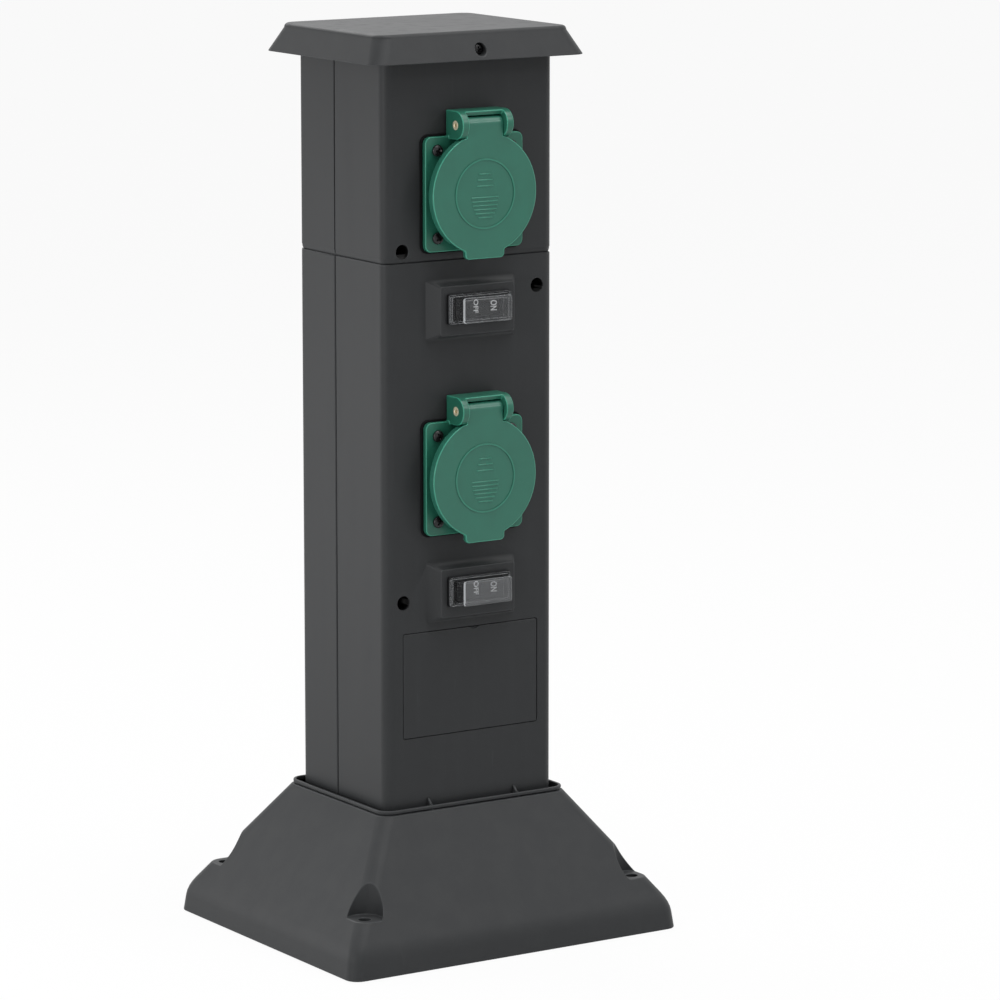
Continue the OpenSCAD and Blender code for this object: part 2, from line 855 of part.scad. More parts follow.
module hinge_bracket() {
    back = bracket_back_y - hinge_y;
    difference() {
        side_extrude(bracket_w) {
            circle(ear_r);
            translate([0, -ear_r]) square([back, 2 * ear_r]);
        }
        side_extrude(tongue_w + 2 * ear_gap) {
            circle(knuckle_room);
            translate([0, -2 * ear_r]) square([back - bracket_wall, 2 * ear_r + knuckle_room]);
            rotate(roof_angle) translate([-2 * ear_r, -2 * ear_r]) square([2 * ear_r, 4 * ear_r]);
        }
        along_x(-bracket_w, bracket_w, hinge_pin_r + 0.02);
    }
}

module socket_housing(z) {
    color(flange_green) at_face(z) difference() {
        union() {
            front_plate(flange_w, flange_w, flange_corner_r, flange_front_y, flange_back_y);
            along_y(rim_y, well_back_y, well_outer_r);
            translate([0, hinge_y, hinge_rise]) hinge_bracket();
        }
        difference() {
            along_y(rim_y - over, well_floor_y, well_r);
            for (s = [-1, 1]) scale([s, 1, 1])
                box(well_r - guide_h, well_r + over, rim_y + guide_drop, well_floor_y + over, -guide_w / 2, guide_w / 2);
        }
        for (x = [-1, 1]) translate([x * pin_pitch / 2, 0, 0]) along_y(well_floor_y - over, well_back_y + over, pin_hole_r);
        at_flange_screws() along_y(flange_front_y - over, flange_back_y + over, flange_screw_r + 0.2);
        for (s = [-1, 1])
            scale([1, 1, s]) box(-clip_w / 2 - 0.3, clip_w / 2 + 0.3, well_floor_y - over, well_back_y + over,
                clip_z - clip_t - 0.3, clip_z + 0.3);
    }
}

module flange_gasket(z) {
    color(rubber_black) at_face(z) difference() {
        front_plate(flange_w + 2 * gasket_lip, flange_w + 2 * gasket_lip, flange_corner_r + gasket_lip, flange_back_y, 0);
        along_y(flange_back_y - over, over, well_hole_r);
        at_flange_screws() along_y(flange_back_y - over, over, flange_screw_r + 0.2);
    }
}

module flange_screws() {
    color(rubber_black) for (z = socket_zs) at_face(z) at_flange_screws() {
        difference() {
            along_y(flange_front_y - flange_screw_head_t, flange_front_y, flange_screw_head_r);
            translate([0, flange_front_y - flange_screw_head_t, 0]) cross_slot();
        }
        along_y(flange_front_y, col_wall + flange_boss_h - 2, flange_screw_r);
    }
}

module lid_tongue() {
    w = tongue_w / 2;
    difference() {
        union() {
            translate([0, hinge_y, hinge_rise]) along_x(-w, w, knuckle_r);
            box(-w, w, lid_front_y, lid_inner_y, 0, hinge_rise);
        }
        translate([0, hinge_y, hinge_rise]) {
            along_x(-bracket_w, bracket_w, hinge_pin_r + run_fit);
            side_extrude(spring_room_w) polygon([
                [-spring_room_r, -knuckle_r], [-spring_room_r, spring_room_r / 2], [-spring_room_r / 2, spring_room_r],
                [2 * knuckle_r, spring_room_r], [2 * knuckle_r, -knuckle_r]]);
            box(-spring_room_w / 2, spring_room_w / 2, hood_reach, 2 * knuckle_r, 0, 2 * knuckle_r);
        }
    }
}

module socket_lid(z) {
    color(lid_green) at_face(z) {
        difference() {
            union() {
                difference() {
                    along_y(lid_front_y, lid_rim_y, lid_r);
                    along_y(lid_inner_y, lid_rim_y + over, lid_r - lid_rim_t);
                }
                difference() {
                    translate([0, 0, -(tab_reach - lid_r + 6) / 2 - lid_r + 6])
                        front_plate(tab_w, tab_reach - lid_r + 6, 2, lid_front_y, lid_rim_y);
                    along_y(lid_inner_y, lid_rim_y + over, lid_r - lid_rim_t);
                }
                difference() {
                    along_y(lid_front_y - lid_ring_h, lid_front_y + 0.2, lid_ring_r);
                    along_y(lid_front_y - over, lid_front_y + over, lid_ring_r - lid_ring_t);
                }
            }
            for (s = [-1, 1]) scale([s, 1, 1]) translate([0, hinge_y, hinge_rise])
                along_x(tongue_w / 2 - 0.01, bracket_w / 2 + ear_cut_w, ear_r + swing_gap);
            box(-lid_r * sin(relief_angle), lid_r * sin(relief_angle), lid_inner_y, lid_rim_y + over,
                -tab_reach - over, -lid_r * cos(relief_angle));
        }
        lid_tongue();
    }
}

module lid_seal(z) {
    color(rubber_black) at_face(z) difference() {
        along_y(lid_inner_y, rim_y - seal_gap, seal_outer_r);
        along_y(lid_inner_y - over, rim_y + over, seal_inner_r);
    }
}

module hinge_pin(z) {
    dimple = 0.7;
    color(brass) at_face(z) translate([0, hinge_y, hinge_rise]) difference() {
        along_x(-bracket_w / 2, bracket_w / 2, hinge_pin_r);
        for (s = [-1, 1]) scale([s, 1, 1]) along_x(bracket_w / 2 - 1.2, bracket_w / 2 + over, dimple);
    }
}

// Round cross-section of a wire, as points on a circle
function circle_points(r, n) = [for (i = [0:n - 1]) [r * cos(360 * i / n), r * sin(360 * i / n)]];

// Coil of the lid spring, with one leg against the back of the bracket
module lid_spring(z) {
    sides = 6;
    per_turn = 10;
    pitch = (spring_room_w - 1.2) / (spring_turns + 0.25);
    steps = spring_turns * per_turn + 3;
    start_x = -(spring_room_w - 1.2) / 2;
    back = bracket_back_y - hinge_y - bracket_wall - 0.1;
    coil = [for (i = [0:steps])
        let (a = 360 * i / per_turn)
        [start_x + pitch * i / per_turn, spring_r * cos(a + 162), spring_r * sin(a + 162)]];
    leg = [[coil[steps][0] + 0.2, back, -spring_r - 0.2]];
    color(steel_grey) at_face(z) translate([0, hinge_y, hinge_rise]) tube(concat(coil, leg), spring_wire_r, sides);
}

// Tube along a path, its rings turned with the path from one to the next
function unit(v) = v / norm(v);
function direction(p, i) = unit(p[min(i + 1, len(p) - 1)] - p[max(i - 1, 0)]);
function side_on(d, last) = unit(last - d * (last * d));
function frames(p, i, last) =
    i == len(p) ? [] :
    let (d = direction(p, i), s = side_on(d, last))
    concat([[s, cross(d, s)]], frames(p, i + 1, s));

module tube(p, r, sides) {
    d0 = direction(p, 0);
    first = abs(d0[2]) < 0.9 ? [0, 0, 1] : [1, 0, 0];
    f = frames(p, 0, first);
    ring = circle_points(r, sides);
    skin([for (i = [0:len(p) - 1]) [for (c = ring) p[i] + f[i][0] * c[0] + f[i][1] * c[1]]]);
}

// Smooth path through hand-chosen points, straight along its first and last stretch
function bend(a, b, c, d, t) =
    0.5 * (2 * b + (c - a) * t + (2 * a - 5 * b + 4 * c - d) * t * t + (3 * b - a - 3 * c + d) * t * t * t);
function smooth(p, n) = concat(
    [p[0]],
    [for (i = [1:len(p) - 3], k = [0:n - 1]) bend(p[i - 1], p[i], p[i + 1], p[i + 2], k / n)],
    [p[len(p) - 2], p[len(p) - 1]]);

module contact_carrier(z) {
    color(switch_black) at_face(z) difference() {
        along_y(well_back_y, carrier_back_y, carrier_r);
        for (x = [-1, 1]) translate([x * pin_pitch / 2, 0, 0])
            along_y(well_back_y - over, carrier_back_y + over, sleeve_r + 0.1);
        box(-clip_w / 2 - 0.2, clip_w / 2 + 0.2, well_back_y - over, well_back_y + clip_t + 0.2, -well_r, well_r);
        box(-blade_w / 2 - 0.2, blade_w / 2 + 0.2, well_back_y, carrier_back_y + over, -clip_t / 2 - 0.2, clip_t / 2 + 0.2);
    }
}

module contact_sleeves(z) {
    color(brass) at_face(z) for (x = [-1, 1]) translate([x * pin_pitch / 2, 0, 0]) difference() {
        union() {
            along_y(well_back_y - 1, carrier_back_y + 0.2, sleeve_r);
            box(-clamp_w / 2, clamp_w / 2, carrier_back_y, carrier_back_y + clamp_t, -clamp_w / 2, clamp_w / 2);
        }
        along_y(well_back_y - 2, carrier_back_y - 1, sleeve_bore_r);
    }
}

// Earth clip: a strap behind the well floor, bent forward into two springy fingers
module earth_clip(z) {
    bar_y = well_back_y + 0.05;
    color(brass) at_face(z) {
        box(-clip_w / 2, clip_w / 2, bar_y, bar_y + clip_t, -clip_z, clip_z);
        box(-blade_w / 2, blade_w / 2, bar_y, carrier_back_y + tab_len, -clip_t / 2, clip_t / 2);
        for (s = [-1, 1]) scale([1, 1, s]) translate([-clip_w / 2, 0, 0]) rotate([90, 0, 90]) linear_extrude(clip_w)
            polygon([
                [bar_y + clip_t, clip_z], [bar_y + clip_t, clip_z - clip_t],
                [well_floor_y - 4, clip_z - clip_t], [clip_tip_y + 4, clip_z - clip_bend - clip_t],
                [clip_tip_y, clip_z - clip_t], [clip_tip_y, clip_z],
                [clip_tip_y + 4, clip_z - clip_bend], [well_floor_y - 4, clip_z]]);
    }
}

// Switches
module switch_body(z) {
    color(switch_black) at_face(z) difference() {
        union() {
            front_plate(bezel_w, bezel_h, 1, bezel_front_y, pad_front_y);
            front_plate(switch_body_w, switch_body_h, 0.5, pad_front_y - 0.2, switch_body_back_y);
            for (s = [-1, 1]) scale([s, 1, 1]) translate([switch_body_w / 2, 0, 0]) linear_extrude(catch_w, center = true)
                polygon([
                    [-switch_wall / 2, pad_front_y + pad_wall + 0.1], [catch_reach, pad_front_y + pad_wall + 0.1],
                    [-switch_wall / 2, pad_front_y + pad_wall + catch_len]]);
        }
        box(-rocker_room_w / 2, rocker_room_w / 2, bezel_front_y - over, rocker_room_y,
            -rocker_h / 2 - 0.3, rocker_h / 2 + 0.3);
        translate([0, pivot_y, 0])
            cylinder(h = rocker_h + 2 * pivot_len + swing_gap, r = pivot_r + run_fit, center = true);
        for (x = [-1, 1]) translate([x * blade_x, 0, 0])
            box(-blade_w / 2, blade_w / 2, switch_body_back_y - blade_root, switch_body_back_y + over,
                -blade_t / 2, blade_t / 2);
    }
}

// Left half of the rocker's side view when pressed in, seen from its pivot
module rocker_half() {
    face = -pivot_depth - pressed_proud;
    back = face + rocker_depth;
    polygon([
        [-rocker_w / 2, face + 0.5], [-rocker_w / 2 + 0.5, face], [0, face], [0, back + rocker_keel],
        [-rocker_w / 8, back + rocker_keel], [-rocker_w / 2, back]]);
}

// Rocker at rest with its left half pressed in: that half lies level
module rocker(z) {
    color(switch_black) at_face(z) translate([0, pivot_y, 0]) {
        linear_extrude(rocker_h, center = true) {
            rocker_half();
            rotate(-2 * rocker_slope) scale([-1, 1]) rocker_half();
            circle(pivot_r);
        }
        cylinder(h = rocker_h + 2 * pivot_len, r = pivot_r, center = true);
    }
}

// Clear cover over the bezel, soft enough to press the rocker through
module switch_cover(z) {
    base_w = bezel_w - 0.4;
    base_h = bezel_h - 0.6;
    top_w = base_w - 2 * cover_lean_x;
    top_h = base_h - 2 * cover_lean_z;
    t = 2 * cover_wall;
    color(clear_plastic, 0.4) at_face(z) translate([0, bezel_front_y, 0]) difference() {
        front_skin([
            level(base_w, base_h, 1.2, 0),
            level(base_w, base_h, 1.2, 1),
            level(top_w, top_h, 1.2, cover_proud)]);
        front_skin([
            level(base_w - t, base_h - t, 0.6, -over),
            level(base_w - t, base_h - t, 0.6, 1),
            level(top_w - t, top_h - t, 0.6, cover_proud - cover_wall)]);
    }
}

module switch_terminals(z) {
    color(brass) at_face(z) for (x = [-blade_x, blade_x]) translate([x, 0, 0]) {
        box(-blade_w / 2, blade_w / 2, switch_body_back_y - blade_root, blade_end_y - crimp_len / 2, -blade_t / 2, blade_t / 2);
        box(-crimp_w / 2, crimp_w / 2, blade_end_y - crimp_len, blade_end_y, -crimp_h / 2, crimp_h / 2);
    }
}

// Terminal block
module at_poles() {
    for (i = [-1:1]) translate([i * pole_pitch, block_y, blank_z]) children();
}

module terminal_block() {
    color("#d8d5cc") difference() {
        translate([0, 0, blank_z])
            box(-block_w / 2, block_w / 2, block_back_y - block_d, block_back_y, -block_h / 2, block_h / 2);
        at_poles() {
            cylinder(h = 2 * block_h, r = barrel_r, center = true);
            for (s = [-1, 1]) translate([0, 0, s * block_h / 4]) along_y(-block_d, 0, terminal_screw_r + 0.2);
        }
        for (x = [-0.5, 0.5]) translate([x * pole_pitch, block_back_y - block_d, blank_z])
            box(-0.6, 0.6, -over, block_d / 3, -block_h, block_h);
    }
}

module terminal_barrels() {
    color(brass) at_poles() difference() {
        cylinder(h = block_h - 1, r = barrel_r, center = true);
        cylinder(h = 2 * block_h, r = barrel_bore_r, center = true);
        for (s = [-1, 1]) translate([0, 0, s * block_h / 4]) along_y(-block_d, 0, terminal_screw_r);
    }
}

module terminal_screws() {
    color(steel_grey) at_poles() for (s = [-1, 1]) translate([0, 0, s * block_h / 4])
        along_y(-block_d / 2 + 1.5, -wire_d / 2 - 0.2, terminal_screw_r);
}

// Wires
module wire(p) {
    tube(smooth(p, 3), wire_d / 2, 8);
}

live_in = [
    [-pole_pitch, block_y, block_exit_z], [-pole_pitch, block_y, top_free_z],
    [-pole_pitch, block_y - 1.5 * turn, top_free_z + 2.3 * turn], [-blade_x + crimp_side, crimp_y + turn, switch_zs[1]],
    [-blade_x + crimp_side, crimp_y, switch_zs[1]]];
live_link = [
    [-blade_x - crimp_side, crimp_y, switch_zs[1]], [-blade_x - crimp_side, crimp_y + turn, switch_zs[1]],
    [-side_x + 1.7 * turn, crimp_y + 1.7 * turn, switch_zs[1] + 1.5 * turn],
    [-side_x, crimp_y + 2 * turn, lower_socket_z - 3.8 * turn],
    [-side_x, crimp_y + 2 * turn, lower_socket_z + 5.8 * turn],
    [-side_x + 1.3 * turn, crimp_y + 1.7 * turn, switch_zs[0] - 2.7 * turn],
    [-blade_x, crimp_y + turn, switch_zs[0]], [-blade_x, crimp_y, switch_zs[0]]];

function live_out(i) = [
    [blade_x, crimp_y, switch_zs[i]], [blade_x, crimp_y + turn, switch_zs[i]],
    [pin_pitch / 2, crimp_y + 1.3 * turn, switch_zs[i] + 2.3 * turn],
    [pin_pitch / 2, wire_y + 0.6 * turn, socket_zs[i] - 3.5 * turn],
    [pin_pitch / 2, wire_y, socket_zs[i] - clamp_w / 2 - turn], [pin_pitch / 2, wire_y, socket_zs[i] - clamp_w / 2]];

neutral_in = [
    [pole_pitch, block_y, block_exit_z], [pole_pitch, block_y, top_free_z],
    [pin_pitch / 4, block_y + 0.6 * turn, switch_zs[1]], [-pin_pitch / 3, block_y + 0.4 * turn, switch_zs[1] + 2.7 * turn],
    [-pin_pitch / 2, block_y - 2 * turn, lower_socket_z - 4 * turn],
    [-pin_pitch / 2, wire_y, lower_socket_z - clamp_w / 2 - turn],
    [-pin_pitch / 2, wire_y, lower_socket_z - clamp_w / 2]];
neutral_link = [
    [-pin_pitch / 2, wire_y, lower_socket_z + clamp_w / 2], [-pin_pitch / 2, wire_y, lower_socket_z + clamp_w / 2 + turn],
    [-pin_pitch / 2, wire_y + 2.9 * turn, lower_socket_z + 5.2 * turn],
    [-pin_pitch / 2, wire_y + 4.6 * turn, lower_socket_z + 9.2 * turn],
    [-pin_pitch / 2, wire_y + 4.6 * turn, switch_zs[0] + 0.8 * turn],
    [-pin_pitch / 2, wire_y + 3.1 * turn, upper_socket_z - 4.6 * turn],
    [-pin_pitch / 2, wire_y, upper_socket_z - clamp_w / 2 - 1.2 * turn],
    [-pin_pitch / 2, wire_y, upper_socket_z - clamp_w / 2]];

earth_in = [
    [0, block_y, block_exit_z], [0, block_y, top_free_z], [0, block_y - 1.7 * turn, top_free_z + 2.7 * turn],
    [-wire_d / 2, block_y - 2.1 * turn, lower_socket_z - 5 * turn],
    [-wire_d / 2, earth_y + 1.5 * turn, lower_socket_z - 1.8 * turn],
    [-wire_d / 2 - 0.1, earth_y + turn, lower_socket_z], [-wire_d / 2 - 0.1, earth_y, lower_socket_z]];
earth_link = [
    [wire_d / 2 + 0.1, earth_y, lower_socket_z], [wire_d / 2 + 0.1, earth_y + turn, lower_socket_z],
    [0.7 * wire_d, earth_y + 1.8 * turn, lower_socket_z + turn],
    [0.8 * wire_d, earth_y + 2.7 * turn, lower_socket_z + 3 * turn],
    [0.8 * wire_d, earth_y + 3 * turn, lower_socket_z + 8.5 * turn],
    [0.8 * wire_d, earth_y + 3 * turn, switch_zs[0] + 1.5 * turn],
    [0, earth_y + 2 * turn, upper_socket_z - 1.8 * turn], [0, earth_y + turn, upper_socket_z], [0, earth_y, upper_socket_z]];

module live_wires() {
    color("#6b3f22") {
        wire(live_in);
        wire(live_link);
        for (i = [0, 1]) wire(live_out(i));
    }
}

module neutral_wires() {
    color("#2f66b0") {
        wire(neutral_in);
        wire(neutral_link);
    }
}

module earth_wires() {
    color("#7aa52e") {
        wire(earth_in);
        wire(earth_link);
    }
}

foot();
lower_front_shell();
lower_rear_shell();
upper_front_shell();
upper_rear_shell();
cap();
blank_cover();
shell_screws();
cap_screws();
foot_screws();
flange_screws();
socket_housing(upper_socket_z);  // upper_socket_housing
socket_housing(lower_socket_z);  // lower_socket_housing
flange_gasket(upper_socket_z);  // upper_flange_gasket
flange_gasket(lower_socket_z);  // lower_flange_gasket
socket_lid(upper_socket_z);  // upper_socket_lid
socket_lid(lower_socket_z);  // lower_socket_lid
lid_seal(upper_socket_z);  // upper_lid_seal
lid_seal(lower_socket_z);  // lower_lid_seal
hinge_pin(upper_socket_z);  // upper_hinge_pin
hinge_pin(lower_socket_z);  // lower_hinge_pin
lid_spring(upper_socket_z);  // upper_lid_spring
lid_spring(lower_socket_z);  // lower_lid_spring
contact_carrier(upper_socket_z);  // upper_contact_carrier
contact_carrier(lower_socket_z);  // lower_contact_carrier
contact_sleeves(upper_socket_z);  // upper_contact_sleeves
contact_sleeves(lower_socket_z);  // lower_contact_sleeves
earth_clip(upper_socket_z);  // upper_earth_clip
earth_clip(lower_socket_z);  // lower_earth_clip
switch_body(switch_zs[0]);  // upper_switch_body
switch_body(switch_zs[1]);  // lower_switch_body
rocker(switch_zs[0]);  // upper_rocker
rocker(switch_zs[1]);  // lower_rocker
switch_cover(switch_zs[0]);  // upper_switch_cover
switch_cover(switch_zs[1]);  // lower_switch_cover
switch_terminals(switch_zs[0]);  // upper_switch_terminals
switch_terminals(switch_zs[1]);  // lower_switch_terminals
terminal_block();
terminal_barrels();
terminal_screws();
live_wires();
neutral_wires();
earth_wires();
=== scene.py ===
"""Garden socket post: finishes, soft edges, screws, marks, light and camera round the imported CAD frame."""

import logging
import math
from dataclasses import dataclass, field
from enum import Enum
from functools import cache
from typing import Any, Callable, Iterable, Mapping, Optional, Sequence, Union

import bmesh
import bpy
from mathutils import Matrix, Vector


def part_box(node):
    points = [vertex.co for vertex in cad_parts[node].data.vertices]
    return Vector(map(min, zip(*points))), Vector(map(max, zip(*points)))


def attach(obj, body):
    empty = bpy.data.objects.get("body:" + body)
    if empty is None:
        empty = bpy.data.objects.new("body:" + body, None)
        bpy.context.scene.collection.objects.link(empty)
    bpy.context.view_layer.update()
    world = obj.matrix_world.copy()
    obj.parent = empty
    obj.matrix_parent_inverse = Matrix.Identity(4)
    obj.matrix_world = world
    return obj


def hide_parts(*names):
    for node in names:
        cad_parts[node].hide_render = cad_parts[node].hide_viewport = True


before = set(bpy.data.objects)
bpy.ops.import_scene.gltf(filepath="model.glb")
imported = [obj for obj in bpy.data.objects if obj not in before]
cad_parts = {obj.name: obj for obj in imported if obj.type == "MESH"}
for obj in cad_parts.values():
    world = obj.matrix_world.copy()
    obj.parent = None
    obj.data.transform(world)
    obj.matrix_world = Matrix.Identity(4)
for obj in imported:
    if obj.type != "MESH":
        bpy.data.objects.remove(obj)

LOG = logging.getLogger("socket_post")
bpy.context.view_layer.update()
MM = 0.001
EDGE_MARK = "edge_mark"
# A face looks along an axis when that part of its normal is over FACING
FACING = 0.9
# Corners closer than WELD are joined, and edges shorter than TINY are dropped
WELD, TINY = 2e-6, 1e-7
# Edges of the big mouldings are rounded from SHELL_ANGLE degrees, and their curves' facets meet at less
SHELL_ANGLE = 34.0
TURNED_SIDES = 32
Colour = tuple[float, float, float]
Number = Union[float, "Shade"]
Inputs = Mapping[Union[int, str], Any]
EdgeShare = Callable[[bmesh.types.BMEdge, Vector], float]
MeshMaker = Callable[[bmesh.types.BMesh], None]


# Node trees and their maths
@dataclass(frozen=True)
class Shade:
    """A number that varies over a surface or a set: one output socket of a node tree."""

    tree: "NodeTree"
    socket: bpy.types.NodeSocket

    def _join(self, operation: str, first: Number, second: Number = 0.0) -> "Shade":
        """Result of a Math node that works on one or two values."""
        return self.tree.shade("ShaderNodeMath", {0: first, 1: second}, operation=operation)

    def __add__(self, other: Number) -> "Shade":
        """Sum of the shade and a value."""
        return self._join("ADD", self, other)

    __radd__ = __add__

    def __sub__(self, other: Number) -> "Shade":
        """The shade less a value."""
        return self._join("SUBTRACT", self, other)

    def __rsub__(self, other: Number) -> "Shade":
        """A value less the shade."""
        return self._join("SUBTRACT", other, self)

    def __mul__(self, other: Number) -> "Shade":
        """Product of the shade and a value."""
        return self._join("MULTIPLY", self, other)

    def root(self) -> "Shade":
        """Square root of the shade."""
        return self._join("SQRT", self)

    def at_most(self, other: Number) -> "Shade":
        """The smaller of the shade and a value."""
        return self._join("MINIMUM", self, other)

    def at_least(self, other: Number) -> "Shade":
        """The larger of the shade and a value."""
        return self._join("MAXIMUM", self, other)

    def between(self, low: float, high: float, to_low: float = 0.0, to_high: float = 1.0) -> "Shade":
        """The shade mapped smoothly from one range to another and held at its ends."""
        inputs = {"Value": self, "From Min": low, "From Max": high, "To Min": to_low, "To Max": to_high}
        return self.tree.shade("ShaderNodeMapRange", inputs, "Result", interpolation_type="SMOOTHSTEP")


class NodeTree:
    """A node tree, with one method that adds every node."""

    def __init__(self, tree: bpy.types.NodeTree) -> None:
        """Takes over a tree and empties it."""
        self.tree = tree
        tree.nodes.clear()

    def node(self, kind: str, inputs: Optional[Inputs] = None, **settings: Any) -> bpy.types.Node:
        """Adds a node, sets its properties, then its sockets.

        Args:
            kind: The node's type.
            inputs: For each named or numbered input a value, a shade, a socket, or a node, whose first
                output is meant.
            settings: Values of its properties.

        Returns:
            The new node.
        """
        node = self.tree.nodes.new(kind)
        for key, value in settings.items():
            setattr(node, key, value)
        for key, value in (inputs or {}).items():
            if isinstance(value, bpy.types.Node):
                value = value.outputs[0]
            elif isinstance(value, Shade):
                value = value.socket
            if isinstance(value, bpy.types.NodeSocket):
                self.tree.links.new(value, node.inputs[key])
            else:
                node.inputs[key].default_value = value
        return node

    def shade(self, kind: str, inputs: Optional[Inputs] = None, output: Union[int, str] = 0,
              **settings: Any) -> Shade:
        """Adds a node and takes one of its outputs, by name or number, as a shade."""
        return Shade(self, self.node(kind, inputs, **settings).outputs[output])


class Graph(NodeTree):
    """A material's node tree, with the patterns that the finishes share."""

    def __init__(self, name: str) -> None:
        """Makes an empty material.

        Args:
            name: The material's name.
        """
        self.material = bpy.data.materials.new(name)
        self.material.use_nodes = True
        super().__init__(self.material.node_tree)

    def where(self, stretch: Colour = (1.0, 1.0, 1.0), turn: Colour = (0.0, 0.0, 0.0)) -> bpy.types.Node:
        """The point on the piece in metres, stretched by factors on X, Y and Z and turned by radians."""
        point = self.node("ShaderNodeTexCoord").outputs["Object"]
        return self.node("ShaderNodeMapping", {"Vector": point, "Scale": stretch, "Rotation": turn})

    def noise(self, size: float, detail: float = 3.0, stretch: Colour = (1.0, 1.0, 1.0),
              turn: Colour = (0.0, 0.0, 0.0)) -> Shade:
        """A cloudy pattern from 0 to 1, with patches of a size in metres and octaves of finer detail."""
        return self.shade("ShaderNodeTexNoise", {"Vector": self.where(stretch, turn), "Scale": 1.0 / size,
                                                 "Detail": detail, "Roughness": 0.55}, "Fac")

    def edge(self) -> Shade:
        """The mark of a piece's faces: 1 on rounded edges and 0 on the rest, unless it was graded."""
        return self.shade("ShaderNodeAttribute", output="Fac", attribute_name=EDGE_MARK)

    def bore_shade_mask(self, mouth: Colour, reach: float) -> Shade:
        """1 inside a bore along Y, from just behind its mouth, and 0 elsewhere: the mask of the painted shade
        inside screw bores.

        Args:
            mouth: Middle of the bore's mouth.
            reach: Radius of the bore.

        Returns:
            The mask.
        """
        start, end = (0.3 * MM, 1.2 * MM), (19 * MM, 20 * MM)
        away = self.node("ShaderNodeVectorMath", {0: self.where(), 1: mouth}, operation="SUBTRACT")
        flat = self.node("ShaderNodeVectorMath", {0: away, 1: (1.0, 0.0, 1.0)}, operation="MULTIPLY")
        span = self.shade("ShaderNodeVectorMath", {0: flat}, "Value", operation="LENGTH")
        depth = self.shade("ShaderNodeSeparateXYZ", {0: away}, "Y")
        within = (1.0 - span.between(0.97 * reach, reach)) * (1.0 - depth.between(*end))
        return within * depth.between(*start)

    def upward(self) -> Shade:
        """How far the surface faces up, from 0 on a wall to 1 on a level top."""
        normal = self.node("ShaderNodeTexCoord").outputs["Normal"]
        return self.shade("ShaderNodeSeparateXYZ", {0: normal}, "Z").at_least(0.0)

    def blend(self, amount: Number, first: Any, second: Any) -> bpy.types.NodeSocket:
        """Mixes two colours.

        Args:
            amount: 0 gives the first colour, 1 the second.
            first: A colour or a colour socket.
            second: A colour or a colour socket.

        Returns:
            The mixed colour's socket.
        """
        amount_at, first_at, second_at, mixed_at = 0, 6, 7, 2
        inputs = {amount_at: amount}
        for key, colour in ((first_at, first), (second_at, second)):
            inputs[key] = colour if isinstance(colour, bpy.types.NodeSocket) else (*colour, 1.0)
        return self.node("ShaderNodeMix", inputs, data_type="RGBA").outputs[mixed_at]

    def bump(self, height: Shade, depth: float, strength: float) -> bpy.types.Node:
        """The bumpy normal of a relief from 0 to 1 with a depth in metres, at a strength."""
        return self.node("ShaderNodeBump", {"Strength": strength, "Distance": depth, "Height": height})

    def finish(self, sockets: Inputs) -> bpy.types.Material:
        """Ends the tree in a Principled shader.

        Args:
            sockets: Values and links of the shader's inputs.

        Returns:
            The finished material.
        """
        shader = self.node("ShaderNodeBsdfPrincipled", sockets)
        self.node("ShaderNodeOutputMaterial", {"Surface": shader})
        return self.material


def tinted(colour: Colour, factor: float) -> Colour:
    """The colour made lighter or darker by a factor."""
    return tuple(min(1.0, part * factor) for part in colour)


# Finishes
DUST = (0.36, 0.35, 0.33)
# How much paler or darker than the plastic its marks are: flow streaks and scuffs, the painted highlight on
# rounded edges and the painted shade inside screw bores
STREAK_TINT, SCUFF_TINT, EDGE_HIGHLIGHT_TINT, BORE_SHADE_TINT = 1.9, 2.6, 2.4, 0.12


@dataclass(frozen=True)
class Finish:
    """A finish of some of the post's pieces.

    Attributes:
        name: The material's name.
    """

    name: str

    def material(self) -> bpy.types.Material:
        """Makes the material with the inputs of its kind of finish."""
        graph = Graph(self.name)
        return graph.finish(self.inputs(graph))

    def inputs(self, graph: Graph) -> Inputs:
        """The shader's inputs, which each kind of finish gives."""
        raise NotImplementedError


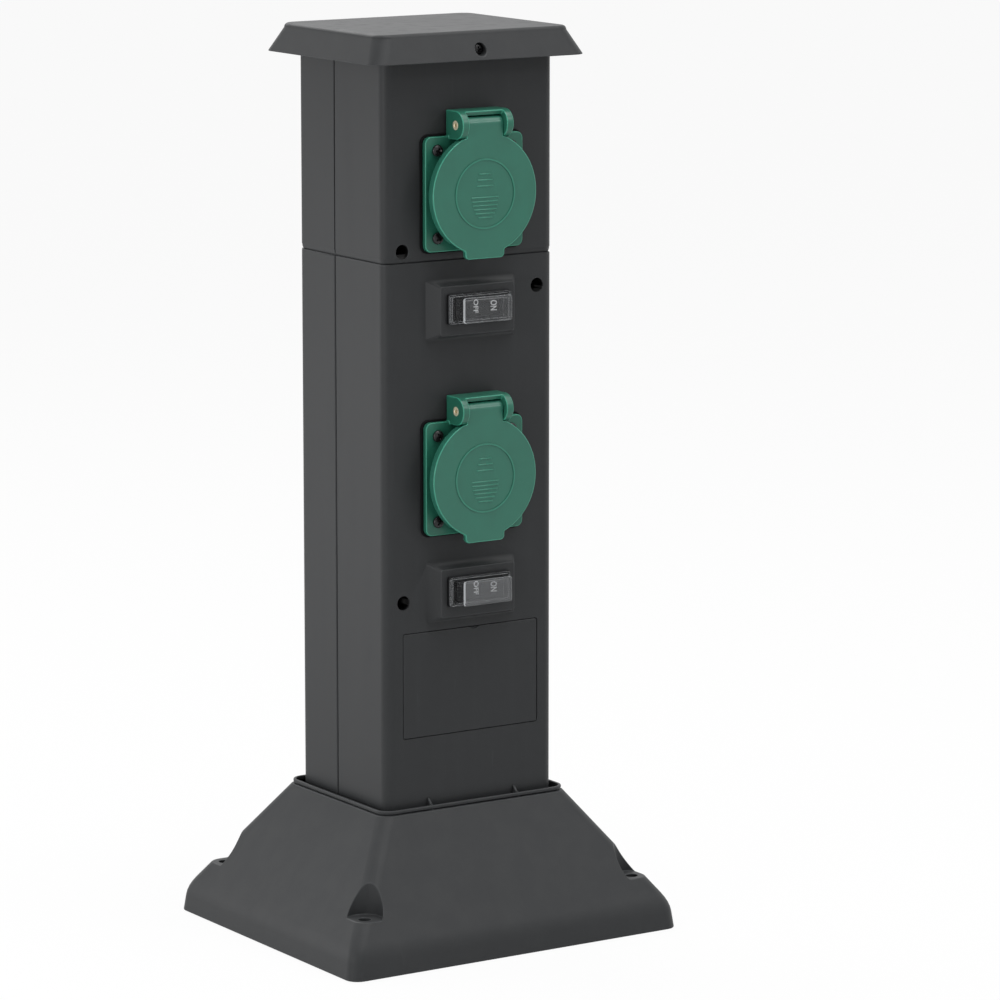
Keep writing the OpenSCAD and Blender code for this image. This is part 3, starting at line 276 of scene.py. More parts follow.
@dataclass(frozen=True)
class MouldedPlastic(Finish):
    """Injection-moulded plastic with a fine satin grain, faint flow marks, a little dust, a painted highlight
    on rounded edges and painted shade inside screw bores.

    Attributes:
        colour: Linear base colour.
        roughness: Mean roughness.
        gloss: Specular level.
        mottle: Share by which patches lighten and darken the colour.
        streaks: Share by which upright flow marks lighten the colour.
        grain: Weight of the fine grain's relief.
        dust: Share of pale dust on faces that look up.
        rubbed: Share of the colour that is lighter where the surface is scuffed.
        edge_highlight: Share by which rounded edges are painted paler, as a painted highlight.
        shaded_bores: Middle of the mouth of each deep screw bore, whose inside is darkened with painted
            shade.
        bore_reach: Radius of those bores.
    """

    colour: Colour
    roughness: float = 0.42
    gloss: float = 0.35
    mottle: float = 0.12
    streaks: float = 0.1
    grain: float = 0.25
    dust: float = 0.05
    rubbed: float = 0.12
    edge_highlight: float = 0.25
    shaded_bores: tuple[Colour, ...] = ()
    bore_reach: float = 3.4 * MM

    def inputs(self, graph: Graph) -> Inputs:
        """The shader's inputs.

        Args:
            graph: The tree that takes the finish's nodes.

        Returns:
            A value or a link for each input.
        """
        patches = graph.noise(24 * MM, 4.0) * 0.65 + graph.noise(7 * MM, 2.0) * 0.35
        flow = graph.noise(6 * MM, 3.0, (1.0, 1.0, 0.06)).between(0.45, 0.75)
        scuffs = graph.noise(3.5 * MM, 5.0, (1.0, 0.35, 0.12), (0.5, 0.3, 0.9)).between(0.66, 0.76)
        dust = graph.upward() * graph.noise(11 * MM, 4.0).between(0.35, 0.7)
        dark, light = tinted(self.colour, 1 - self.mottle), tinted(self.colour, 1 + self.mottle)
        shade = graph.blend(patches.between(0.3, 0.7), dark, light)
        # Streaks and scuffs are the plastic's own; the paler rounded edges are a painted highlight
        for share, tint in ((flow * self.streaks, STREAK_TINT), (scuffs * self.rubbed, SCUFF_TINT),
                            (graph.edge() * self.edge_highlight, EDGE_HIGHLIGHT_TINT)):
            shade = graph.blend(share, shade, tinted(self.colour, tint))
        shade = graph.blend(dust * self.dust, shade, DUST)
        # Painted shade: the inside of each deep screw bore is darkened
        for mouth in self.shaded_bores:
            shade = graph.blend(graph.bore_shade_mask(mouth, self.bore_reach), shade, tinted(self.colour, BORE_SHADE_TINT))
        relief = graph.noise(0.55 * MM, 2.0) * 0.7 + graph.noise(1.6 * MM, 2.0) * 0.3
        return {
            "Base Color": shade,
            "Roughness": self.roughness + (patches - 0.5) * 0.08 + (flow - 0.5) * 0.05 + scuffs * 0.1,
            "Normal": graph.bump(relief, 0.06 * MM, self.grain),
            "Specular IOR Level": self.gloss,
        }


@dataclass(frozen=True)
class SoftRubber(Finish):
    """Black rubber with a dull bloom.

    Attributes:
        colour: Linear base colour.
    """

    colour: Colour = (0.0035, 0.0035, 0.004)

    def inputs(self, graph: Graph) -> Inputs:
        """The shader's inputs."""
        bloom = graph.noise(4 * MM, 4.0).between(0.4, 0.75)
        return {
            "Base Color": graph.blend(bloom * 0.25, self.colour, (0.016, 0.016, 0.017)),
            "Roughness": 0.6 + bloom * 0.18,
            "Normal": graph.bump(graph.noise(0.4 * MM, 2.0), 0.05 * MM, 0.3),
            "Specular IOR Level": 0.1,
        }


@dataclass(frozen=True)
class PlatedMetal(Finish):
    """Bare or plated metal with drawing marks and a slight tarnish.

    Attributes:
        colour: Linear reflection colour.
        tarnish: Linear colour of its duller patches.
        roughness: Mean roughness.
        metal: Metallic weight, lower on blackened steel.
    """

    colour: Colour
    tarnish: Colour
    roughness: float = 0.28
    metal: float = 1.0

    def inputs(self, graph: Graph) -> Inputs:
        """The shader's inputs."""
        dull = graph.noise(1.2 * MM, 4.0).between(0.42, 0.78)
        lines = graph.noise(0.3 * MM, 2.0, (0.12, 1.0, 1.0))
        return {
            "Base Color": graph.blend(dull * 0.6, self.colour, self.tarnish),
            "Roughness": self.roughness + dull * 0.22 + (lines - 0.5) * 0.1,
            "Metallic": self.metal - dull * 0.15,
            "Normal": graph.bump(lines, 0.02 * MM, 0.25),
        }


@dataclass(frozen=True)
class ClearPlastic(Finish):
    """Clear soft plastic, nearly unseen on its faces; a painted highlight makes its edges pale, and a faint
    painted reflection lightens its faces.

    Attributes:
        face_cover: Opacity of the flat faces.
        edge_highlight_cover: Opacity of the rounded edges, which carry the painted highlight.
    """

    face_cover: float = 0.04
    edge_highlight_cover: float = 0.85

    def inputs(self, graph: Graph) -> Inputs:
        """The shader's inputs."""
        # The mark is the painted highlight on edges and the painted reflection on faces, both paler and more
        # opaque
        edge = graph.edge()
        haze = graph.noise(3 * MM, 4.0)
        cover = self.face_cover + edge * (self.edge_highlight_cover - self.face_cover)
        return {
            "Base Color": graph.blend(edge, (0.16, 0.165, 0.17), (0.50, 0.52, 0.54)),
            "Roughness": 0.12 + haze * 0.14,
            "Alpha": (cover + (haze - 0.5) * 0.04).at_most(1.0).at_least(0.0),
            "Normal": graph.bump(graph.noise(2.5 * MM, 2.0), 0.04 * MM, 0.3),
            "Specular IOR Level": 0.5,
        }


@dataclass(frozen=True)
class PrintedInk(Finish):
    """Thin pale printing that is a little worn.

    Attributes:
        colour: Linear colour of the ink.
    """

    colour: Colour = (0.62, 0.63, 0.64)

    def inputs(self, graph: Graph) -> Inputs:
        """The shader's inputs."""
        worn = graph.noise(0.7 * MM, 4.0).between(0.5, 0.72)
        return {
            "Base Color": graph.blend(worn * 0.45, self.colour, (0.12, 0.12, 0.125)),
            "Roughness": 0.5 + worn * 0.2,
            "Normal": graph.bump(worn, 0.02 * MM, 0.2),
        }


CHARCOAL = (0.0310, 0.0325, 0.0340)
FINISHES = {finish.name: finish for finish in (
    MouldedPlastic("foot_plastic", tinted(CHARCOAL, 1.08), roughness=0.5, gloss=0.17, mottle=0.02,
                   streaks=0.04, grain=0.35, dust=0.02, rubbed=0.06),
    # The shell screws' bores get painted shade inside
    MouldedPlastic("charcoal_plastic", CHARCOAL, roughness=0.46, gloss=0.17, mottle=0.03, streaks=0.08,
                   dust=0.02, shaded_bores=tuple((x * MM, -36.5 * MM, z * MM) for x, z in (
                       (-34.7, 154.5), (34.7, 289.4), (-34.7, 308.7)))),
    MouldedPlastic("green_plastic", (0.0215, 0.138, 0.094), roughness=0.34, gloss=0.45, mottle=0.05,
                   streaks=0.02, grain=0.12, dust=0.02, rubbed=0.05, edge_highlight=0.75),
    # A darker copy of the lids' green for the flange and well: painted shade
    MouldedPlastic("dark_green_plastic", (0.018, 0.128, 0.084), roughness=0.36, gloss=0.42, mottle=0.06,
                   streaks=0.02, grain=0.12, dust=0.02, rubbed=0.05, edge_highlight=0.75),
    MouldedPlastic("black_plastic", (0.006, 0.0063, 0.007), roughness=0.3, gloss=0.14, mottle=0.08,
                   streaks=0.02, grain=0.1, dust=0.01, rubbed=0.06, edge_highlight=0.6),
    MouldedPlastic("pale_plastic", (0.66, 0.63, 0.56), roughness=0.4, gloss=0.4, mottle=0.04,
                   streaks=0.0, grain=0.15, rubbed=0.0),
    ClearPlastic("clear_cover"),
    SoftRubber("black_rubber"),
    PlatedMetal("black_steel", (0.011, 0.011, 0.012), (0.005, 0.005, 0.005), 0.26, 0.35),
    PlatedMetal("bright_steel", (0.56, 0.57, 0.58), (0.34, 0.34, 0.33), 0.26),
    PlatedMetal("brass", (0.97, 0.88, 0.64), (0.80, 0.66, 0.40), 0.36, 0.6),
    MouldedPlastic("brown_insulation", (0.14, 0.05, 0.018), 0.38, 0.4, 0.05, 0.0),
    MouldedPlastic("blue_insulation", (0.03, 0.13, 0.43), 0.38, 0.4, 0.05, 0.0),
    MouldedPlastic("green_insulation", (0.2, 0.37, 0.035), 0.38, 0.4, 0.05, 0.0),
    PrintedInk("printed_ink"),
)}


@cache
def paint(finish: str) -> bpy.types.Material:
    """The material of a named finish, made once."""
    return FINISHES[finish].material()


# Mesh helpers
def new_object(name: str, data: bpy.types.ID) -> bpy.types.Object:
    """An object that is linked to the scene.

    Args:
        name: Its name.
        data: Its mesh, curve, camera or lamp.

    Returns:
        The object.
    """
    piece = bpy.data.objects.new(name, data)
    bpy.context.scene.collection.objects.link(piece)
    return piece


def merged(node: str) -> bmesh.types.BMesh:
    """A CAD node's triangles, joined along their edges.

    Args:
        node: The CAD node's name.

    Returns:
        A new mesh to work on.
    """
    work = bmesh.new()
    work.from_mesh(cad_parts[node].data)
    bmesh.ops.remove_doubles(work, verts=work.verts, dist=WELD)
    bmesh.ops.dissolve_degenerate(work, edges=work.edges, dist=TINY)
    return work


def plain(work: bmesh.types.BMesh, name: str) -> bpy.types.Mesh:
    """Ends the work on a mesh.

    Args:
        work: The worked mesh, which is freed.
        name: Name of the plain mesh.

    Returns:
        The plain mesh.
    """
    mesh = bpy.data.meshes.new(name)
    work.to_mesh(mesh)
    work.free()
    return mesh


def with_sharp(mesh: bpy.types.Mesh, angle: float = 32.0) -> bpy.types.Mesh:
    """Shades a mesh smooth but for its sharp edges.

    Args:
        mesh: The mesh.
        angle: Degrees between two faces from which their edge is sharp.

    Returns:
        The same mesh.
    """
    mesh.polygons.foreach_set("use_smooth", [True] * len(mesh.polygons))
    mesh.set_sharp_from_angle(angle=math.radians(angle))
    return mesh


def mark_faces(mesh: bpy.types.Mesh, values: Sequence[float]) -> None:
    """Writes the mark that the finishes read as a rounded edge and paint as a highlight, one value for each
    face.
    """
    mesh.attributes.new(EDGE_MARK, "FLOAT", "FACE").data.foreach_set("value", values)


def solid_boxes(node: str) -> list[tuple[Vector, Vector]]:
    """Lowest and highest corner of each separate solid of a CAD node.

    Args:
        node: The CAD node's name.

    Returns:
        One pair of corners for each solid, in order along Z, then X.
    """
    work = merged(node)
    seen: set[int] = set()
    boxes = []
    for start in work.verts:
        if start.index in seen:
            continue
        seen.add(start.index)
        group, queue = [start.co.copy()], [start]
        while queue:
            for edge in queue.pop().link_edges:
                for vert in edge.verts:
                    if vert.index not in seen:
                        seen.add(vert.index)
                        group.append(vert.co.copy())
                        queue.append(vert)
        boxes.append((Vector(map(min, *group)), Vector(map(max, *group))))
    work.free()
    return sorted(boxes, key=lambda pair: (round(pair[0].z, 4), round(pair[0].x, 4)))


def evaluated(piece: bpy.types.Object) -> bpy.types.Mesh:
    """A plain mesh of what a piece's modifiers or its lettering make."""
    bpy.context.view_layer.update()
    return bpy.data.meshes.new_from_object(piece.evaluated_get(bpy.context.evaluated_depsgraph_get()))


def bake(piece: bpy.types.Object) -> None:
    """Turns a piece's modifiers into a plain mesh and removes them.

    Args:
        piece: The object with modifiers.
    """
    mesh = evaluated(piece)
    mesh.name = piece.name
    piece.modifiers.clear()
    piece.data = mesh


def modify(piece: bpy.types.Object, kind: str, **settings: Any) -> None:
    """Applies a modifier to a piece.

    Args:
        piece: The piece.
        kind: The modifier's type.
        settings: Values of its properties.
    """
    modifier = piece.modifiers.new(kind.lower(), kind)
    for key, value in settings.items():
        setattr(modifier, key, value)
    bake(piece)


def fixed(piece: bpy.types.Object, body: str, finish: str, nodes: Iterable[str] = (), slot: str = "") -> None:
    """Gives a finished piece its material and its body, and hides the CAD nodes that it stands for.

    Args:
        piece: The piece, at the origin.
        body: The CAD body that it rides on.
        finish: The finish that it shows.
        nodes: CAD nodes that it stands for.
        slot: The record's material slot, where its name isn't the finish's; not used.
    """
    slot = slot or finish
    piece.data.materials.clear()
    piece.data.materials.append(paint(finish))
    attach(piece, body)
    if nodes:
        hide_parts(*nodes)
    LOG.info("%s: %d faces on %s", piece.name, len(piece.data.polygons), body)


@dataclass(frozen=True)
class SoftEdges:
    """How a CAD node's sharp edges are rounded.

    Attributes:
        width: Width of the rounding in metres.
        segments: Faces across it.
        angle: Degrees between two faces from which their edge is rounded.
        crisp: Degrees from which an edge of the rounded piece is shaded as sharp.
        flat: Degrees up to which neighbouring triangles are made one face.
    """

    width: float
    segments: int = 3
    angle: float = 32.0
    crisp: float = 40.0
    flat: float = 0.3

    def copy_of(self, node: str, name: str, share: EdgeShare = lambda edge, middle: 1.0) -> bpy.types.Object:
        """A copy of a CAD node with flat faces made whole and chosen edges rounded.

        Args:
            node: The CAD node's name.
            name: The new piece's name.
            share: Share of the width that an edge gets.

        Returns:
            The new piece, with no material yet.
        """
        work = merged(node)
        flat, limit = math.radians(self.flat), math.radians(self.angle)
        bmesh.ops.dissolve_limit(work, angle_limit=flat, verts=work.verts, edges=work.edges)
        weight = work.edges.layers.float.new("bevel_weight_edge")
        for edge in work.edges:
            if len(edge.link_faces) == 2 and edge.calc_face_angle(0.0) > limit:
                edge[weight] = share(edge, (edge.verts[0].co + edge.verts[1].co) / 2)
        mesh = plain(work, name)
        mesh.materials.append(None)
        mesh.materials.append(None)
        piece = new_object(name, mesh)
        modify(piece, "BEVEL", limit_method="WEIGHT", width=self.width, segments=self.segments,
               use_clamp_overlap=False, miter_outer="MITER_ARC", material=1)
        with_sharp(piece.data, self.crisp)
        modify(piece, "WEIGHTED_NORMAL", mode="FACE_AREA_WITH_ANGLE", keep_sharp=True)
        # Rounded faces are marked 1, which the finishes paint paler as a highlight
        rounded = [float(face.material_index) for face in piece.data.polygons]
        mark_faces(piece.data, rounded)
        piece.data.polygons.foreach_set("material_index", [0] * len(rounded))
        return piece


def dressed(node: str, name: str, body: str, finish: str, edges: SoftEdges) -> None:
    """Shows a CAD node as a named piece with rounded edges."""
    fixed(edges.copy_of(node, name), body, finish, [node])


def solid_from(name: str, build: MeshMaker) -> bpy.types.Mesh:
    """A closed mesh made by a function, with its faces turned outwards.

    Args:
        name: The mesh's name.
        build: Fills an empty mesh.

    Returns:
        The mesh.
    """
    work = bmesh.new()
    build(work)
    bmesh.ops.remove_doubles(work, verts=work.verts, dist=TINY)
    bmesh.ops.recalc_face_normals(work, faces=work.faces)
    return with_sharp(plain(work, name))


def turned(profile: Sequence[tuple[float, float]], sides: int = TURNED_SIDES) -> MeshMaker:
    """A function that turns a profile round the Z axis.

    Args:
        profile: Radius and height of each point, from one end on the axis to the other.
        sides: Points round the axis.

    Returns:
        The function, for solid_from.
    """
    def build(work: bmesh.types.BMesh) -> None:
        """Adds the turned shape's rings and the faces between them.

        Args:
            work: The mesh that they go into.
        """
        turns = [math.tau * i / sides for i in range(sides)]
        rings = [[work.verts.new((radius * math.cos(turn), radius * math.sin(turn), height))
                  for turn in (turns if radius else turns[:1])] for radius, height in profile]
        for low, high in zip(rings, rings[1:]):
            for i in range(sides):
                j = (i + 1) % sides
                corners = [low[i % len(low)], low[j % len(low)], high[j % len(high)], high[i % len(high)]]
                work.faces.new(list(dict.fromkeys(corners)))
    return build


# Geometry Nodes trees
class Recipe(NodeTree):
    """A Geometry Nodes tree with named inputs, built in the script."""

    def __init__(self, name: str, **inputs: str) -> None:
        """Makes the tree and its interface, with the geometry first and the finish last.

        Args:
            name: The tree's name.
            inputs: Socket type of each named input between those two, without its first part.
        """
        super().__init__(bpy.data.node_groups.new(name, "GeometryNodeTree"))
        face = self.tree.interface
        for way in ("INPUT", "OUTPUT"):
            face.new_socket(name="Geometry", in_out=way, socket_type="NodeSocketGeometry")
        inputs["Finish"] = "Material"
        self.keys = {
            key: face.new_socket(name=key, in_out="INPUT", socket_type=f"NodeSocket{kind}").identifier
            for key, kind in inputs.items()}
        self.given = self.node("NodeGroupInput")

    def ask(self, key: str) -> Shade:
        """The value of a named input."""
        return Shade(self, self.given.outputs[key])

    def end(self, geometry: bpy.types.Node) -> "Recipe":
        """Ends the tree in Realize Instances and Set Material.

        Args:
            geometry: The node whose result they take.

        Returns:
            The recipe itself.
        """
        real = self.node("GeometryNodeRealizeInstances", {"Geometry": geometry})
        painted = self.node("GeometryNodeSetMaterial", {"Geometry": real, "Material": self.ask("Finish")})
        self.node("NodeGroupOutput", {0: painted})
        return self

    def apply(self, piece: bpy.types.Object, finish: str, **values: Any) -> None:
        """Runs the tree on a piece and keeps its result as a plain mesh.

        Args:
            piece: The object that the tree starts from.
            finish: The finish that the result shows.
            values: A value for each named input.
        """
        modifier = piece.modifiers.new(self.tree.name, "NODES")
        modifier.node_group = self.tree
        for key, value in {**values, "Finish": paint(finish)}.items():
            modifier[self.keys[key]] = value
        bake(piece)


def screw_recipe() -> Recipe:
    """Screws set on points, each turned by a seeded amount about its own axis.

    Returns:
        The recipe.
    """
    recipe = Recipe("screws_on_points", Screw="Object", Seed="Int")
    screw = recipe.node("GeometryNodeObjectInfo", {"Object": recipe.ask("Screw")}).outputs["Geometry"]
    facing = recipe.node("GeometryNodeInputNamedAttribute", {"Name": "facing"}, data_type="FLOAT_VECTOR")
    aimed = recipe.node("FunctionNodeAlignRotationToVector", {"Vector": facing}, axis="Z")
    low, high, chance_at = 2, 3, 1
    chance = recipe.node("FunctionNodeRandomValue", {low: 0.0, high: math.tau, "Seed": recipe.ask("Seed")},
                         data_type="FLOAT").outputs[chance_at]
    spin = recipe.node("FunctionNodeAxisAngleToRotation", {"Axis": (0.0, 0.0, 1.0), "Angle": chance})
    both = recipe.node("FunctionNodeRotateRotation", {"Rotation": aimed, "Rotate By": spin},
                       rotation_space="LOCAL")
    return recipe.end(recipe.node("GeometryNodeInstanceOnPoints", {
        "Points": recipe.ask("Geometry"), "Instance": screw, "Rotation": both}))


def tube_recipe() -> Recipe:
    """A round rod swept along a polyline.

    Returns:
        The recipe.
    """
    recipe = Recipe("rod_along_path", Radius="Float", Sides="Int")
    path = recipe.node("GeometryNodeMeshToCurve", {"Mesh": recipe.ask("Geometry")})
    ring = recipe.node("GeometryNodeCurvePrimitiveCircle", {"Resolution": recipe.ask("Sides"),
                                                            "Radius": recipe.ask("Radius")})
    rod = recipe.node("GeometryNodeCurveToMesh", {"Curve": path, "Profile Curve": ring, "Fill Caps": True})
    return recipe.end(recipe.node("GeometryNodeSetShadeSmooth", {"Geometry": rod, "Shade Smooth": True}))


def bar_recipe() -> Recipe:
    """Raised bars stacked down a disc, each as long as a share of the disc's chord there.

    Returns:
        The recipe.
    """
    recipe = Recipe("bars_in_disc", Count="Int", Pitch="Float", Disc="Float", Share="Float", Top="Float",
                    Bar="Object")
    height = recipe.ask("Top") - recipe.shade("GeometryNodeInputIndex") * recipe.ask("Pitch")
    chord = (recipe.ask("Disc") * recipe.ask("Disc") - height * height).root()
    place = recipe.node("ShaderNodeCombineXYZ", {"Z": height})
    stretch = recipe.node("ShaderNodeCombineXYZ", {"X": chord * recipe.ask("Share"), "Y": 1.0, "Z": 1.0})
    line = recipe.node("GeometryNodeMeshLine", {"Count": recipe.ask("Count")})
    spread = recipe.node("GeometryNodeSetPosition", {"Geometry": line, "Position": place})
    bar = recipe.node("GeometryNodeObjectInfo", {"Object": recipe.ask("Bar")}).outputs["Geometry"]
    return recipe.end(recipe.node("GeometryNodeInstanceOnPoints", {
        "Points": spread, "Instance": bar, "Scale": stretch}))


# Studio
@dataclass
class Studio:
    """Pale floor, soft light and the camera.

    Attributes:
        azimuth: Camera's turn from straight in front, in degrees; negative is to the left.
        elevation: Camera's height angle in degrees.
        lens: Focal length in millimetres on a 36 mm sensor.
        reach: Distance of the camera from the plane through the aim point.
        aside: Camera's offset to its own right.
        above: Camera's offset to its own top.
        aim_height: Height of the aim point.
        sensor: Width of the camera's sensor in millimetres.
        floor_half: Half the side of the floor.
        floor_drop: How far the floor lies below the foot.
        floor_glow: Share of plain white in what the camera sees of the floor.
        ambient: Strength of the surroundings as a light.
        lamps: Name, place, height of the point that it faces, side and watts of each softbox.
    """

    azimuth: float = -33.02
    elevation: float = 10.178
    lens: float = 181.61
    reach: float = 2.240443
    aside: float = 0.032851
    above: float = -0.008443
    aim_height: float = 0.2
    sensor: float = 36.0
    floor_half: float = 14.0
    floor_drop: float = 0.2 * MM
    floor_glow: float = 0.93
    ambient: float = 0.3
    lamps: tuple[tuple[str, Colour, float, float, float], ...] = (
        ("soft_top", (0.2, -0.42, 1.65), 0.2, 1.3, 19.0),
        ("soft_back", (0.0, 0.9, 1.3), 0.3, 1.0, 9.0),
        ("soft_left", (-0.5, 0.36, 0.14), 0.2, 0.4, 1.0),
        ("soft_side", (-0.9, -0.26, 0.35), 0.2, 0.35, 2.2),
        ("key_right", (1.05, -1.5, 1.35), 0.22, 0.32, 5.0),
    )

    def build(self) -> None:
        """Makes camera, floor, world and lamps."""
        self.camera()
        self.floor()
        self.world()
        for lamp in self.lamps:
            self.lamp(*lamp)
        bpy.context.scene.view_settings.view_transform = "Standard"

    def camera(self) -> None:
        """Places the camera at the photograph's viewing angle."""
        turn, lift = math.radians(self.azimuth), math.radians(self.elevation)
        back = Vector((math.sin(turn) * math.cos(lift), -math.cos(turn) * math.cos(lift), math.sin(lift)))
        right = Vector((math.cos(turn), math.sin(turn), 0.0))
        top = back.cross(right)
        data = bpy.data.cameras.new("camera")
        data.sensor_width = self.sensor
        data.lens = self.lens
        data.clip_end = 50.0
        camera = new_object("camera", data)
        aim = Vector((0.0, 0.0, self.aim_height))
        place = aim + right * self.aside + top * self.above + back * self.reach
        camera.matrix_world = Matrix.Translation(place) @ Matrix((right, top, back)).transposed().to_4x4()
        bpy.context.scene.camera = camera

    def floor(self) -> None:
        """Makes a plain pale floor that is white to the camera and still takes a shadow."""
        half = self.floor_half
        corners = [(-half, -half, 0), (half, -half, 0), (half, half, 0), (-half, half, 0)]
        mesh = bpy.data.meshes.new("floor")
        mesh.from_pydata(corners, [], [(0, 1, 2, 3)])
        floor = new_object("floor", mesh)
        floor.location.z = -self.floor_drop
        graph = Graph("floor")
        matt = graph.node("ShaderNodeBsdfDiffuse", {"Color": (0.8, 0.8, 0.8, 1.0)})
        glow = graph.node("ShaderNodeEmission", {"Color": (1.0, 1.0, 1.0, 1.0), "Strength": 1.0})
        mix = graph.node("ShaderNodeMixShader", {0: self.seen(graph) * self.floor_glow, 1: matt, 2: glow})
        graph.node("ShaderNodeOutputMaterial", {"Surface": mix})
        mesh.materials.append(graph.material)

    @staticmethod
    def seen(tree: NodeTree) -> Shade:
        """1 on rays from the camera and those seen in gloss or through glass.

        Args:
            tree: The tree that asks.

        Returns:
            The factor.
        """
        outputs = tree.node("ShaderNodeLightPath").outputs
        kinds = ("Camera", "Glossy", "Transmission")
        camera, gloss, glass = (Shade(tree, outputs[f"Is {kind} Ray"]) for kind in kinds)
        return (camera + gloss + glass).at_most(1.0)

    def world(self) -> None:
        """Makes the surroundings white to the eye and plain grey as a light."""
        world = bpy.data.worlds.new("studio")
        bpy.context.scene.world = world
        world.use_nodes = True
        tree = NodeTree(world.node_tree)
        strength = self.seen(tree).between(0.0, 1.0, self.ambient, 1.0)
        glow = tree.node("ShaderNodeBackground", {"Color": (1.0, 1.0, 1.0, 1.0), "Strength": strength})
        tree.node("ShaderNodeOutputWorld", {"Surface": glow})

    @staticmethod
    def lamp(name: str, place: Colour, aim_height: float, size: float, power: float) -> None:
        """Adds a square softbox.

        Args:
            name: Its name.
            place: Its position in metres.
            aim_height: Height of the point over the origin that it faces.
            size: Its side in metres.
            power: Its power in watts.
        """
        data = bpy.data.lights.new(name, "AREA")
        data.shape = "SQUARE"
        data.size = size
        data.energy = power
        lamp = new_object(name, data)
        lamp.visible_camera = False
        lamp.location = place
        facing = Vector((0.0, 0.0, aim_height)) - Vector(place)
        lamp.rotation_euler = facing.to_track_quat("-Z", "Y").to_euler()


# The post
@dataclass
class Foot:
    """The sloped foot with its lip, ribs and corner pockets.

    Attributes:
        rounding: Width of its softened edges.
    """

    rounding: float = 0.45 * MM

    def build(self) -> None:
        """Dresses the foot."""
        piece = SoftEdges(self.rounding, angle=SHELL_ANGLE).copy_of("foot", "sloped_foot")
        fixed(piece, "post", "foot_plastic", ["foot"], "charcoal_plastic")


@dataclass
class Column:
    """The four shells of the column and its blank cover.

    Attributes:
        rounding: Width of the softened edges along the upright seams.
        light_share: Share of that width on the other edges.
        cover_rounding: Width of the softened edges of the blank cover.
        seam: Height of the level seam, over which the upper shells are already rounded.
        seam_band: Height of the band over that seam that stays as it is.
        splits: Y of the upright seams' edges on the front and rear shells.
        split_band: How far from the front shells' split the edges stay as they are.
        skin: How far in from the outside an edge still counts as an outer one.
        near: Distance within which an edge counts as lying on a seam.
    """

    rounding: float = 0.65 * MM
    light_share: float = 0.45
    cover_rounding: float = 0.3 * MM
    seam: float = 303.5 * MM
    seam_band: float = 3 * MM
    splits: tuple[float, float] = (4.5 * MM, 5.2 * MM)
    split_band: float = 1.2 * MM
    skin: float = 1.4 * MM
    near: float = 0.05 * MM

    def build(self) -> None:
        """Dresses every shell and the blank cover."""
        edges = SoftEdges(self.rounding, angle=SHELL_ANGLE)
        for node in ("lower_front_shell", "lower_rear_shell", "upper_front_shell", "upper_rear_shell"):
            low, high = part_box(node)
            piece = edges.copy_of(node, f"{node}_skin", lambda e, p: self.edge_share(e, p, low, high))
            fixed(piece, "post", "charcoal_plastic", [node])
        dressed("blank_cover", "blank_cover_plate", "post", "charcoal_plastic",
                SoftEdges(self.cover_rounding, angle=SHELL_ANGLE))

    def edge_share(self, edge: bmesh.types.BMEdge, point: Vector, low: Vector, high: Vector) -> float:
        """How much of the rounding an edge of a shell gets.

        Args:
            edge: The edge.
            point: Its middle.
            low: Lowest corner of the shell.
            high: Highest corner of the shell.

        Returns:
            1 along the upright seams, less on the other outer edges and 0 inside the shell.
        """
        inward = min(max(high.x, -low.x) - abs(point.x), max(abs(low.y), high.y) - abs(point.y))
        if not edge.is_convex or inward > self.skin:
            return 0.0
        on_split = any(abs(point.y - y) < self.near for y in self.splits)
        if on_split and abs(edge.verts[0].co.z - edge.verts[1].co.z) > self.near:
            return 1.0
        on_band = self.seam < point.z < self.seam + self.seam_band
        if on_band or abs(point.y - self.splits[0]) < self.split_band:
            return 0.0
        return 1.0 if abs(point.z - self.seam) < self.near else self.light_share


@dataclass
class Cap:
    """The overhanging cap.

    Attributes:
        rounding: Width of its softened edges.
    """

    rounding: float = 0.45 * MM

    def build(self) -> None:
        """Dresses the cap."""
        edges = SoftEdges(self.rounding, angle=SHELL_ANGLE)
        dressed("cap", "weather_cap", "post", "charcoal_plastic", edges)


class Place(Enum):
    """The two places of a socket with its switch."""

    UPPER = "upper"
    LOWER = "lower"


